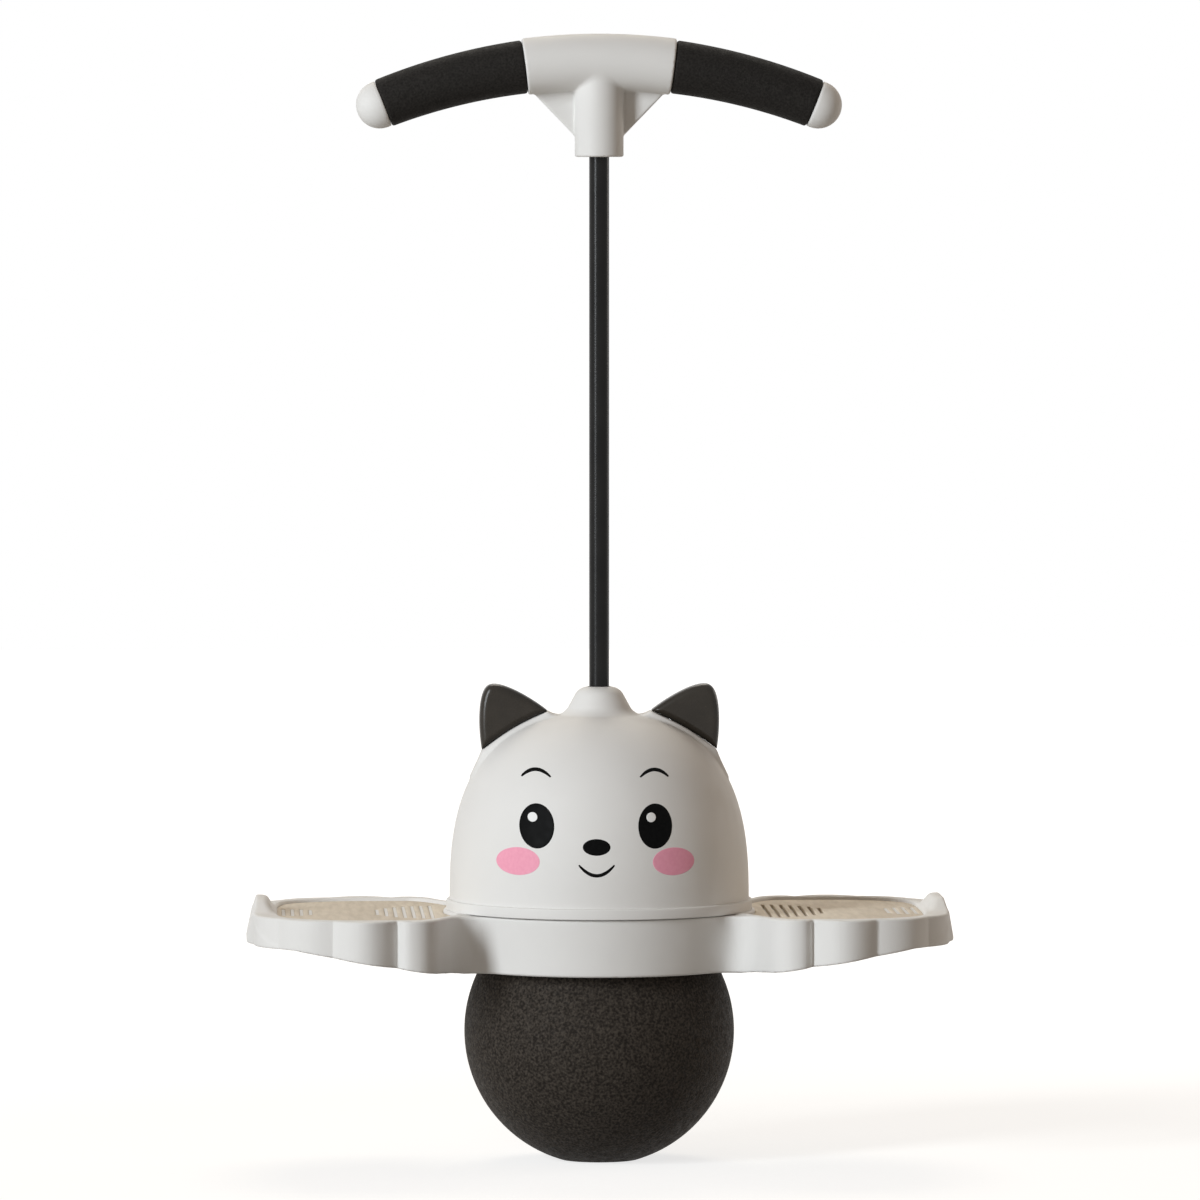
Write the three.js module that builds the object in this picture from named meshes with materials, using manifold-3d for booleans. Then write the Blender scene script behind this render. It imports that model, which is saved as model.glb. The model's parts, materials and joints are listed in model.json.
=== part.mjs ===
// A stand-on pogo ball for a small child. An inflated ball with a waist is held in the collar of a moulded
// deck with two winged pedals. A dome with ears covers the ball's upper lobe and carries a pole with a
// T-handle.
import * as THREE from "three";
import { mergeVertices } from "three/addons/utils/BufferGeometryUtils.js";
import Module from "manifold-3d";

// Driving dimensions in millimetres. X runs across the pedals, Y from front to back and Z up.

// Fits
const fitGap = 0.3; // between pieces that seat on or fit in each other
const ballGap = 0.5; // from the ball to its collar
const wall = 3; // moulded plastic

// Ball
const ballRadius = 81; // the lower lobe
const contactDepth = 3.4; // how far the standing ball is pressed flat
const ballWall = 3.5;
const waistRise = 54.8; // from the lower lobe's centre up to the waist
const upperLobeBulge = 4; // how much wider the upper lobe is than the waist
const valveDrop = 30; // the valve's height below the lower lobe's centre
const valveRadius = 4.5;
const valveFlangeWidth = 2;
const valveFlangeThickness = 2;
const valveSeatGap = 2; // from the valve's flange to the ball's curved inside
const valveSink = 0.5; // the valve's face below the ball's surface
const needleRadius = 0.7;

// Deck ring
const lipRadius = 7; // the collar's rounded nose in the ball's waist
const collarRise = 11; // the collar's top above the waist
const deckRise = 17.7; // the deck's top above the waist
const ringHeight = 34.2;
const ringChannel = 8.4; // the clear width at the floor of the ring's channel
const ringDraft = 4.7; // how much wider the ring is at its top

// Pedal wings: distances out from the ring's top edge and half depths from the middle
const armpitDepth = 36; // where the front edge leaves the ring
const armpitRound = 25; // how far the hollow rounding there runs along the edge and the ring
const rootRun = 20; // how far that edge runs on inside the ring
const shoulderOut = 10;
const shoulderDepth = 84;
const firstLobeOut = 25;
const firstLobeDepth = 98;
const firstCuspOut = 34.5;
const firstCuspDepth = 92;
const secondCuspOut = 72.5;
const secondCuspDepth = 93;
const secondLobeBulge = 11;
const thirdCuspOut = 103;
const thirdCuspDepth = 72;
const thirdLobeBulge = 6;
const tipCornerOut = 117;
const tipCornerDepth = 40;
const fourthLobeBulge = 4;
const wingReach = 122;
const tipHalfWidth = 20;
const tipLean = 8; // how far the end wall leans in over its height
const wingRootHeight = 33;
const tipHeight = 17.5;
const tipLevelRun = 28; // from the tip to where its level underside starts to fall
const stopHeight = 8.5; // the raised stop at the tip
const stopRun = 18; // from the tip to the foot of the stop's inner slope
const stopTopRun = 11; // from the tip to the head of that slope
const ribThickness = 2.4;
const ribRecess = 3; // the ribs' lower edges above the skirt's
const ribPitchX = 30;
const ribPitchY = 46;

// Pads
const rimWidth = 5;
const padThickness = 2.3;
const padRecess = 1.2; // the pad's top below the rim
const padFlangeClearance = 2;
const slotWidth = 2;
const slotPitch = 5.4;
const innerSlotOut = 11;
const innerSlotLength = 100;
const innerSlotFade = 6.6; // slot pitches over which the inner group's arch closes
const innerSlots = 7;
const outerSlotOut = 78;
const outerSlotLength = 54;
const outerSlotFade = 3;
const outerSlots = 5;

// Dome
const domeRise = 46.3; // the crown above the ball's top
const domeSquareness = 2.6; // superellipse exponent of the dome's profile
const flangeGap = 2; // shadow gap under the flange
const flangeHeight = 5;
const flangeOverhang = 2;
const seatInset = 1;
const spigotDepth = 7;
const neckRise = 15.6;
const neckTopRadius = 12.4;
const neckBaseRadius = 21;
const neckEdge = 1.4;
const socketWall = 4.8;
const socketFloor = 4;
const socketRibs = 4;
const postTopRise = 14; // the screw posts' tops above the deck's top
const domeScrews = 6;

// Ears
const earInner = 30; // where the ear's base starts and ends, out from the dome's axis
const earOuter = 67.6;
const earSeatRise = 3.6; // the base's ends above the dome
const earSeatBow = 1.6; // the seat's rise between its ends
const earHeight = 31.5;
const earShoulderIn = 4;
const earShoulderHeight = 11;
const earCrownIn = 15;
const earThickness = 16;
const earBevel = 3;
const earSeatMargin = 2;
const earSeatToe = 4;
const earSeatHeelOut = 13.5;
const earSeatHeelDrop = 10.6;
const earScrewInset = 13;
const earScrewSeatDrop = 7; // the screws' seats under the ear's base
const earScrewGrip = 8; // how far the screws reach into the ear

// Pole
const poleRadius = 6;
const poleWall = 1.2;
const poleLength = 407.3;
const poleSocketDepth = 43.5; // in the dome
const plugLength = 22;
const boltRadius = 2.9;
const boltHeadRadius = 5;
const boltHeadHeight = 4.6;
const boltReach = 15; // into the plug
const washerRadius = 8;
const washerThickness = 1.3;

// Handle
const handleSocketDepth = 47; // of the pole in the handle
const socketRadius = 14.6;
const barRise = 56.7; // the bar's middle above the socket's lower end
const barSweep = 350; // radius of the bar's curve
const barRadius = 17.1;
const barLength = 89; // between the grips, along the curve
const barWall = 2.8;
const armRadius = 11.5;
const armWall = 2.8;
const gripLength = 88;
const gripInnerRadius = 16;
const gripOuterRadius = 14.8;
const capRadius = 14.2;
const capRim = 2;
const capShankLength = 16;
const capShankGap = 0.6; // the straight shank in the curved arm
const gussetReach = 40;
const gussetFoot = 9.6; // above the socket's lower end
const gussetThickness = 9;
const handleScrewSpan = 28;
const handleScrewSeat = 9; // the screws' seats behind the parting plane
const crossScrewRise = 20;
const crossScrewSeat = 9.5;
const handleScrewGrip = 9;

// Screws
const screwRadius = 1.75;
const screwHeadRadius = 3.4;
const screwHeadHeight = 2.4;
const screwSink = 3; // the dome screws' seats above the ring's lower face
const domeScrewGrip = 14;

// Facets of the round shapes
const ballSides = 36;
const ballSteps = 12; // along the lower lobe
const ballWaistSteps = 3;
const ballUpperSteps = 8;
const shellSides = 36;
const domeSteps = 8;
const domeInsideSteps = 6;
const collarSteps = 3;
const collarTopSteps = 2;
const barSides = 16;
const postSides = 12;
const screwSides = 8;
const hexSides = 6;
const curveSteps = 5;
const capSteps = 5;
const slotEndSteps = 2;
const bevelSteps = 2;
const barStep = 18; // one straight step along the handle's curve

// Heights and radii that follow from the driving dimensions
const ballCentre = ballRadius - contactDepth;
const waistZ = ballCentre + waistRise;
const lipCentre = Math.sqrt((ballRadius + ballGap + lipRadius) ** 2 - waistRise ** 2);
const upperLobeRadius = lipCentre - lipRadius - ballGap + upperLobeBulge;
const upperCentre = waistZ + Math.sqrt((lipCentre + upperLobeBulge) ** 2 - lipCentre ** 2);
const ballTop = upperCentre + upperLobeRadius;

const deckTop = waistZ + deckRise;
const ringBottom = deckTop - ringHeight;
const channelFloor = ringBottom + wall;
const channelInner = Math.sqrt((ballRadius + ballGap + wall) ** 2 - (channelFloor - ballCentre) ** 2);
const channelOuter = channelInner + ringChannel;
const screwCircle = (channelInner + channelOuter) / 2;
const ringBottomRadius = channelOuter + wall;
const ringRadius = ringBottomRadius + ringDraft;
const tipX = ringRadius + wingReach;
const padTop = deckTop - padRecess;
const pocketFloor = padTop - padThickness - fitGap;
const plateBottom = pocketFloor - wall;

const flangeBottom = deckTop + flangeGap;
const domeBase = flangeBottom + flangeHeight;
const domeTop = ballTop + domeRise;
const domeHeight = domeTop - domeBase;
const flangeRadius = ringRadius + flangeOverhang;
const padInnerRadius = flangeRadius + padFlangeClearance;
const neckTop = domeTop + neckRise;
const poleSeat = neckTop - poleSocketDepth;
const socketBottom = poleSeat - socketFloor;
const poleBottom = poleSeat + fitGap;
const poleTop = poleBottom + poleLength;

const handleBottom = poleTop - handleSocketDepth;
const barZ = handleBottom + barRise;
const barCentreZ = barZ - barSweep;
const barAngle = barLength / 2 / barSweep;
const gripAngle = barAngle + gripLength / barSweep;
const crossScrewZ = handleBottom + crossScrewRise;

const finishes = {
  shell: { color: 0xe3e1dd, roughness: 0.5, metalness: 0 },
  dark: { color: 0x3a3633, roughness: 0.6, metalness: 0 },
  foam: { color: 0x2b2826, roughness: 0.85, metalness: 0 },
  ball: { color: 0x3c3936, roughness: 0.8, metalness: 0 },
  pad: { color: 0xd2bf9f, roughness: 0.75, metalness: 0 },
  paint: { color: 0x2a2927, roughness: 0.35, metalness: 0.4 },
  steel: { color: 0xb4b4b0, roughness: 0.35, metalness: 1 },
};

const wasm = await Module();
wasm.setup();

// A closed geometry as a solid for joining and cutting
function solid(geometry) {
  const bare = geometry.clone();
  bare.deleteAttribute("normal");
  bare.deleteAttribute("uv");
  const merged = mergeVertices(bare, 1e-4);
  const corners = merged.index.array;
  const triVerts = [];
  for (let i = 0; i < corners.length; i += 3) {
    const [a, b, c] = corners.subarray(i, i + 3);
    if (a !== b && b !== c && c !== a) triVerts.push(a, b, c);
  }
  const mesh = new wasm.Mesh({
    numProp: 3,
    vertProperties: merged.getAttribute("position").array,
    triVerts: Uint32Array.from(triVerts),
  });
  return new wasm.Manifold(mesh);
}

function geometryOf(body) {
  const { vertProperties, triVerts } = body.getMesh();
  const geometry = new THREE.BufferGeometry();
  geometry.setAttribute("position", new THREE.BufferAttribute(vertProperties, 3));
  geometry.setIndex(new THREE.BufferAttribute(triVerts, 1));
  geometry.computeVertexNormals();
  return geometry;
}

const vectors = (points) => points.map(([x, y]) => new THREE.Vector2(x, y));

// A solid turned about Z from [radius, z] points
function turnedGeometry(profile, sides) {
  const points = vectors(profile);
  if (THREE.ShapeUtils.area(points) < 0) points.reverse();
  return new THREE.LatheGeometry(points, sides).rotateX(Math.PI / 2);
}

const turned = (profile, sides) => solid(turnedGeometry(profile, sides));

function rodGeometry(radius, from, to, sides = postSides) {
  return turnedGeometry([[0, from], [radius, from], [radius, to], [0, to]], sides);
}

const rod = (radius, from, to, sides) => solid(rodGeometry(radius, from, to, sides));

// A rod along Y at a given X and Z
function crossRod(radius, from, to, x, z, sides = postSides) {
  return solid(rodGeometry(radius, from, to, sides).rotateX(-Math.PI / 2).translate(x, 0, z));
}

function extruded(outline, depth) {
  return new THREE.ExtrudeGeometry(new THREE.Shape(vectors(outline)), { depth, bevelEnabled: false });
}

// An [x, y] outline raised along Z
const prism = (outline, bottom, top) => solid(extruded(outline, top - bottom).translate(0, 0, bottom));

// An [x, z] outline made thick along Y, centred on the XZ plane
function slabGeometry(outline, thickness) {
  return extruded(outline, thickness).translate(0, 0, -thickness / 2).rotateX(Math.PI / 2);
}

const slab = (outline, thickness) => solid(slabGeometry(outline, thickness));

const rectangle = (x0, x1, y0, y1) => [[x0, y0], [x1, y0], [x1, y1], [x0, y1]];

const joined = (bodies) => bodies.reduce((whole, body) => whole.add(body));

// A geometry and its copy half a turn round Z, as one solid
const bothSides = (geometry) => solid(geometry).add(solid(geometry.clone().rotateZ(Math.PI)));

function arc(centre, radius, from, to, steps) {
  return Array.from({ length: steps + 1 }, (_, i) => {
    const angle = from + ((to - from) * i) / steps;
    return [centre[0] + radius * Math.cos(angle), centre[1] + radius * Math.sin(angle)];
  });
}

// A counterclockwise outline moved inwards by a distance
function inset(outline, distance) {
  const count = outline.length;
  const inward = (from, to) => {
    const length = Math.hypot(to[0] - from[0], to[1] - from[1]);
    return [(from[1] - to[1]) / length, (to[0] - from[0]) / length];
  };
  return outline.map((point, i) => {
    const before = inward(outline[(i + count - 1) % count], point);
    const after = inward(point, outline[(i + 1) % count]);
    const mitre = distance / (1 + before[0] * after[0] + before[1] * after[1]);
    return [point[0] + mitre * (before[0] + after[0]), point[1] + mitre * (before[1] + after[1])];
  });
}

// The front half of an outline, run on into its mirror image at the back
const frontAndBack = (front) => [...front, ...front.map(([x, y]) => [x, -y]).reverse()];

// A closed outline with each corner rounded from the middle of one side to the middle of the next
function rounded(corners, steps) {
  const middle = (i) => {
    const [from, to] = [corners[i % corners.length], corners[(i + 1) % corners.length]];
    return [(from[0] + to[0]) / 2, (from[1] + to[1]) / 2];
  };
  const path = new THREE.Path();
  path.moveTo(...middle(corners.length - 1));
  corners.forEach((corner, i) => path.quadraticCurveTo(...corner, ...middle(i)));
  return path.getPoints(steps).slice(0, -1).map(({ x, y }) => [x, y]);
}

function addPiece(parent, name, body, finish) {
  const mesh = new THREE.Mesh(geometryOf(body), new THREE.MeshStandardMaterial(finish));
  mesh.name = name;
  parent.add(mesh);
  return mesh;
}

const toy = new THREE.Group();
const rightSide = new THREE.Group();
const leftSide = new THREE.Group();
leftSide.rotation.z = Math.PI;
toy.add(rightSide, leftSide);
const sides = [["right", rightSide], ["left", leftSide]];

// The ball's profile, moved inwards by a distance: lower lobe, waist and upper lobe
function ballProfile(depth) {
  const radius = ballRadius - depth;
  const flat = Math.sqrt(radius ** 2 - (ballCentre - depth) ** 2);
  const lowerEnd = Math.atan2(waistRise, lipCentre);
  const upperStart = Math.atan2(upperCentre - waistZ, lipCentre);
  const waist = arc(
    [lipCentre, waistZ],
    lipRadius + ballGap + depth,
    Math.PI + lowerEnd,
    Math.PI - upperStart,
    ballWaistSteps,
  );
  return [
    [0, depth],
    ...arc([0, ballCentre], radius, Math.atan2(depth - ballCentre, flat), lowerEnd, ballSteps),
    ...waist.slice(1, -1),
    ...arc([0, upperCentre], upperLobeRadius - depth, -upperStart, Math.PI / 2, ballUpperSteps),
  ];
}

// The valve points out of the rear of the lower lobe
const valveTurn = -(Math.PI / 2 + Math.asin(valveDrop / ballRadius));

function buildBall() {
  const hole = rodGeometry(valveRadius + fitGap, ballRadius - 2 * ballWall, ballRadius + ballWall);
  hole.rotateX(valveTurn).translate(0, 0, ballCentre);
  const outside = turned(ballProfile(0), ballSides);
  const inside = turned(ballProfile(ballWall), ballSides);
  addPiece(toy, "ball", outside.subtract(inside).subtract(solid(hole)), finishes.ball);
}

function buildValve() {
  const flangeRadius = valveRadius + valveFlangeWidth;
  const flangeFace = Math.sqrt((ballRadius - ballWall) ** 2 - flangeRadius ** 2) - valveSeatGap;
  const inner = flangeFace - valveFlangeThickness;
  const face = ballRadius - valveSink;
  const profile = [
    [needleRadius, inner],
    [flangeRadius, inner],
    [flangeRadius, flangeFace],
    [valveRadius, flangeFace],
    [valveRadius, face],
    [needleRadius, face],
    [needleRadius, inner],
  ];
  const valve = addPiece(toy, "ball_valve", turned(profile, postSides), finishes.dark);
  valve.rotation.x = valveTurn;
  valve.position.z = ballCentre;
}

// The collar's ball side, or its outer side with a depth of one wall
function collarArcs(depth, fromZ) {
  const seat = ballRadius + ballGap + depth;
  const upperSeat = upperLobeRadius + ballGap + depth;
  const lowerEnd = Math.atan2(waistRise, lipCentre);
  const upperStart = Math.atan2(upperCentre - waistZ, lipCentre);
  const upperEnd = Math.asin((waistZ + collarRise - upperCentre) / upperSeat);
  const nose = [lipRadius - depth, Math.PI + lowerEnd, Math.PI - upperStart, collarSteps];
  return [
    ...arc([0, ballCentre], seat, Math.asin((fromZ - ballCentre) / seat), lowerEnd, collarSteps),
    ...arc([lipCentre, waistZ], ...nose).slice(1, -1),
    ...arc([0, upperCentre], upperSeat, -upperStart, upperEnd, collarTopSteps),
  ];
}

// The ring: an outer wall, a floor and a collar round the ball's waist, open at the top
function ringBody() {
  const profile = [
    ...collarArcs(0, ringBottom).reverse(),
    [ringBottomRadius, ringBottom],
    [ringRadius, deckTop],
    [ringRadius - wall, deckTop],
    [channelOuter, channelFloor],
    ...collarArcs(wall, channelFloor),
  ];
  return turned([...profile, profile[0]], shellSides);
}

// A lobe of the wing's edge, as a curve that bulges out of the straight line between two cusps
function lobe(path, to, bulge) {
  const { x, y } = path.currentPoint;
  const length = Math.hypot(to[0] - x, to[1] - y);
  const controlX = (x + to[0]) / 2 + (2 * bulge * (to[1] - y)) / length;
  const controlY = (y + to[1]) / 2 - (2 * bulge * (to[0] - x)) / length;
  path.quadraticCurveTo(controlX, controlY, ...to);
}

// Points of the right wing's front edge. The front is at negative Y.
const armpit = [Math.sqrt(ringRadius ** 2 - armpitDepth ** 2), -armpitDepth];
const shoulder = [ringRadius + shoulderOut, -shoulderDepth];
const wallSlope = (shoulder[0] - armpit[0]) / (shoulder[1] - armpit[1]);
const wallTurn = Math.atan(-wallSlope);
const wingRoot = [armpit[0] - rootRun * Math.sin(wallTurn), armpit[1] + rootRun * Math.cos(wallTurn)];
const firstCusp = [ringRadius + firstCuspOut, -firstCuspDepth];
const secondCusp = [ringRadius + secondCuspOut, -secondCuspDepth];
const thirdCusp = [ringRadius + thirdCuspOut, -thirdCuspDepth];
const tipCorner = [ringRadius + tipCornerOut, -tipCornerDepth];
const roundTurn = Math.asin(armpit[1] / ringRadius) - armpitRound / ringRadius;
const roundRadius = ringBottomRadius - ringDraft;
const roundStart = [roundRadius * Math.cos(roundTurn), roundRadius * Math.sin(roundTurn)];
const roundEnd = [armpit[0] + armpitRound * Math.sin(wallTurn), armpit[1] - armpitRound * Math.cos(wallTurn)];
const onWall = (depth) => [shoulder[0] + wallSlope * (shoulderDepth - depth), -depth];

function wingOutline() {
  const path = new THREE.Path();
  path.moveTo(...roundStart);
  path.quadraticCurveTo(...armpit, ...roundEnd);
  path.lineTo(...shoulder);
  path.quadraticCurveTo(...onWall(firstLobeDepth), ringRadius + firstLobeOut, -firstLobeDepth);
  path.quadraticCurveTo(ringRadius + (firstLobeOut + 2 * firstCuspOut) / 3, -firstLobeDepth, ...firstCusp);
  lobe(path, secondCusp, secondLobeBulge);
  lobe(path, thirdCusp, thirdLobeBulge);
  lobe(path, tipCorner, fourthLobeBulge);
  path.lineTo(tipX, -tipHalfWidth);
  return frontAndBack(path.getPoints(curveSteps).map(({ x, y }) => [x, y]));
}

// The pad's outline: the wing's cusps joined by straight sides, moved in from the edge and rounded
function padOutline(margin) {
  const innerCorner = onWall(firstCuspDepth);
  const endCorner = [tipX - stopRun + rimWidth, -tipCornerDepth];
  const corners = [wingRoot, innerCorner, firstCusp, secondCusp, thirdCusp, endCorner];
  return rounded(inset(frontAndBack(corners), margin), curveSteps);
}

// The raised stop at the wing's tip, sloping down to the pad and to both sides
function stopBody() {
  const top = deckTop + stopHeight;
  const foot = deckTop - padRecess;
  const across = slab(
    [[tipX - stopRun, foot], [tipX, foot], [tipX, top], [tipX - stopTopRun, top]],
    2 * tipCornerDepth,
  );
  const along = extruded(
    [[-tipCornerDepth, foot], [tipCornerDepth, foot], [tipHalfWidth, top], [-tipHalfWidth, top]],
    wingReach,
  );
  along.rotateX(Math.PI / 2).rotateZ(Math.PI / 2).translate(ringRadius, 0, 0);
  return across.intersect(solid(along));
}

// The wing's end wall, which leans in from the tip's lower edge to the top of its stop
const endWallX = (z) => tipX - (tipLean * (z - deckTop + tipHeight)) / (tipHeight + stopHeight);

// The wing's side view, with an underside that rises to a level stretch at the tip
function wingSideView(lift) {
  const slope = (wingRootHeight - tipHeight) / (wingReach - tipLevelRun);
  const tipBottom = deckTop - tipHeight + lift;
  const top = deckTop + stopHeight;
  return [
    [0, deckTop - wingRootHeight - slope * ringRadius + lift],
    [tipX - tipLevelRun, tipBottom],
    [endWallX(tipBottom), tipBottom],
    [endWallX(top), top],
    [0, top],
  ];
}

// The side view of the space under the wing's plate, one wall in from the end wall
function hollowSideView() {
  const bottom = ringBottom - wall;
  const end = (z) => [endWallX(z) - wall, z];
  return [[0, bottom], end(bottom), end(plateBottom), [0, plateBottom]];
}

function wingBody() {
  const outline = wingOutline();
  const width = 2 * (secondCuspDepth + 2 * secondLobeBulge + firstLobeDepth);
  const stop = stopBody().intersect(prism(outline, deckTop - padRecess, deckTop + stopHeight));
  const pocket = prism(padOutline(rimWidth), pocketFloor, deckTop + wall);
  const block = prism(outline, ringBottom, deckTop).subtract(pocket).add(stop);
  const skin = block.intersect(slab(wingSideView(0), width));
  const under = prism(inset(outline, wall), ringBottom - wall, plateBottom);
  const hollow = under.intersect(slab(hollowSideView(), width));
  const ribs = [];
  for (let x = ringRadius + ribPitchX; x < tipX - wall; x += ribPitchX) {
    ribs.push(rectangle(x, x + ribThickness, -firstLobeDepth, firstLobeDepth));
  }
  for (const y of [-ribPitchY, 0, ribPitchY]) {
    ribs.push(rectangle(ringBottomRadius - wall, tipX, y - ribThickness / 2, y + ribThickness / 2));
  }
  const grid = joined(ribs.map((rib) => prism(rib, ringBottom, plateBottom + wall / 2)));
  const inside = prism(inset(outline, wall / 2), ringBottom, plateBottom + wall / 2);
  const trimmed = grid.intersect(inside).intersect(slab(wingSideView(ribRecess), width));
  return skin.subtract(hollow).add(trimmed);
}

// Places round the ring where a screw holds the dome down, as angles
const screwAngles = Array.from({ length: domeScrews }, (_, i) => (2 * Math.PI * (i + 0.5)) / domeScrews);
const postRadius = ringChannel / 2 - fitGap;
const screwSeat = ringBottom + screwSink;
const seatTop = screwSeat + wall;

function atScrews(geometry) {
  const outer = geometry.clone().translate(screwCircle, 0, 0);
  return joined(screwAngles.map((angle) => solid(outer.clone().rotateZ(angle))));
}

function buildDeck() {
  const wing = geometryOf(wingBody());
  const core = turned(
    [
      [0, ringBottom - wall],
      [ringBottomRadius - ringDraft / 2, ringBottom - wall],
      [ringRadius - wall / 2, deckTop + wall],
      [0, deckTop + wall],
    ],
    shellSides,
  );
  const seats = atScrews(rodGeometry(postRadius, ringBottom + wall / 2, seatTop));
  const holes = atScrews(rodGeometry(screwRadius + fitGap, ringBottom - wall, seatTop + wall));
  const sinks = atScrews(rodGeometry(screwHeadRadius + fitGap, ringBottom - wall, screwSeat));
  const deck = bothSides(wing).subtract(core).add(ringBody()).add(seats).subtract(holes).subtract(sinks);
  addPiece(toy, "deck", deck, finishes.shell);
}

// A slot along Y with round ends
function slotOutline(x, length) {
  const straight = (length - slotWidth) / 2;
  const shape = new THREE.Shape();
  shape.absarc(x, straight, slotWidth / 2, 0, Math.PI);
  shape.absarc(x, -straight, slotWidth / 2, Math.PI, 2 * Math.PI);
  return shape.getPoints(slotEndSteps).map(({ x: across, y: along }) => [across, along]);
}

function buildPads() {
  const slots = [];
  for (let i = 0; i < innerSlots; i += 1) {
    const length = innerSlotLength * Math.sqrt(1 - (i / innerSlotFade) ** 2);
    slots.push(slotOutline(ringRadius + innerSlotOut + i * slotPitch, length));
  }
  for (let i = 0; i < outerSlots; i += 1) {
    const length = outerSlotLength * Math.sqrt(1 - ((i - (outerSlots - 1) / 2) / outerSlotFade) ** 2);
    slots.push(slotOutline(ringRadius + outerSlotOut + (i + 1) * slotPitch, length));
  }
  const bottom = pocketFloor + fitGap;
  const cuts = joined(slots.map((slot) => prism(slot, bottom - padThickness, padTop + padThickness)));
  const neighbour = rod(padInnerRadius, bottom - padThickness, padTop + padThickness, shellSides);
  const pad = prism(padOutline(rimWidth + fitGap), bottom, padTop).subtract(neighbour).subtract(cuts);
  for (const [side, group] of sides) addPiece(group, `${side}_pad`, pad, finishes.pad);
}

// The dome's height at a distance from its axis, on its outside
function domeZ(radius) {
  return domeBase + domeHeight * (1 - (radius / ringRadius) ** domeSquareness) ** (1 / domeSquareness);
}

// The dome's profile, moved inwards by a distance, from a start radius out to its full radius
function superellipse(depth, startRadius, steps) {
  const radius = ringRadius - depth;
  const height = domeHeight - depth;
  const start = Math.acos((startRadius / radius) ** (domeSquareness / 2));
  return Array.from({ length: steps + 1 }, (_, i) => {
    const angle = start * (1 - i / steps);
    const power = 2 / domeSquareness;
    return [radius * Math.cos(angle) ** power, domeBase + height * Math.sin(angle) ** power];
  });
}

// The ring's inner face, which the dome's spigot fits
function ringInnerRadius(z) {
  const draft = (ringRadius - wall - channelOuter) / (deckTop - channelFloor);
  return ringRadius - wall - draft * (deckTop - z);
}

// The dome with its neck, flange and spigot
function domeShell() {
  const seat = deckTop + fitGap;
  const spigotBottom = deckTop - spigotDepth;
  const spigot = (z) => ringInnerRadius(z) - fitGap;
  return turned(
    [
      [0, neckTop],
      [neckTopRadius - neckEdge, neckTop],
      [neckTopRadius, neckTop - neckEdge],
      ...superellipse(0, neckBaseRadius, domeSteps),
      [flangeRadius, domeBase],
      [flangeRadius, flangeBottom],
      [ringRadius - seatInset, flangeBottom],
      [ringRadius - seatInset, seat],
      [spigot(deckTop), seat],
      [spigot(spigotBottom), spigotBottom],
      [spigot(spigotBottom) - wall, spigotBottom],
      [spigot(deckTop) - wall, deckTop],
      ...superellipse(wall, 0, domeInsideSteps).reverse(),
    ],
    shellSides,
  );
}

// The space in the dome, with its edge inside the wall by a share of the wall
function domeSpace(depth) {
  const edge = superellipse(depth, 0, domeInsideSteps).reverse();
  return turned([[0, flangeBottom], [ringRadius - depth, flangeBottom], ...edge], shellSides);
}

// The frame of the right ear: X runs out along its base and Z up out of the dome
function earEnd(radius) {
  const z = domeZ(radius);
  const normal = new THREE.Vector2(
    (radius / ringRadius) ** (domeSquareness - 1) / ringRadius,
    ((z - domeBase) / domeHeight) ** (domeSquareness - 1) / domeHeight,
  ).normalize();
  return [radius + earSeatRise * normal.x, z + earSeatRise * normal.y];
}

const [earStart, earStop] = [earEnd(earInner), earEnd(earOuter)];
const earBase = Math.hypot(earStop[0] - earStart[0], earStop[1] - earStart[1]);
const earTurn = Math.atan2(earStart[1] - earStop[1], earStop[0] - earStart[0]);
const earScrewPlaces = [earScrewInset, earBase - earScrewInset];
const toEar = (geometry) => geometry.rotateY(earTurn).translate(earStart[0], 0, earStart[1]);

function atEarScrews(geometry) {
  return earScrewPlaces.map((x) => toEar(geometry.clone().translate(x, 0, 0)));
}

// The seat's bowed line at a height above the ear's base
function seatLine(lift) {
  const path = new THREE.Path();
  path.moveTo(0, lift);
  path.quadraticCurveTo(earBase / 2, lift + 2 * earSeatBow, earBase, lift);
  return path.getPoints(curveSteps).map(({ x, y }) => [x, y]);
}

// The raised seat under an ear, run out into the dome at its toe and its heel
function earSeatGeometry() {
  const outline = [
    [-earSeatToe, -2 * earSeatToe],
    ...seatLine(0),
    [earBase + earSeatHeelOut, -earSeatHeelDrop],
    [earBase + earSeatToe, -2 * earSeatHeelDrop],
  ];
  return toEar(slabGeometry(outline, earThickness + 2 * earSeatMargin));
}

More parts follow.
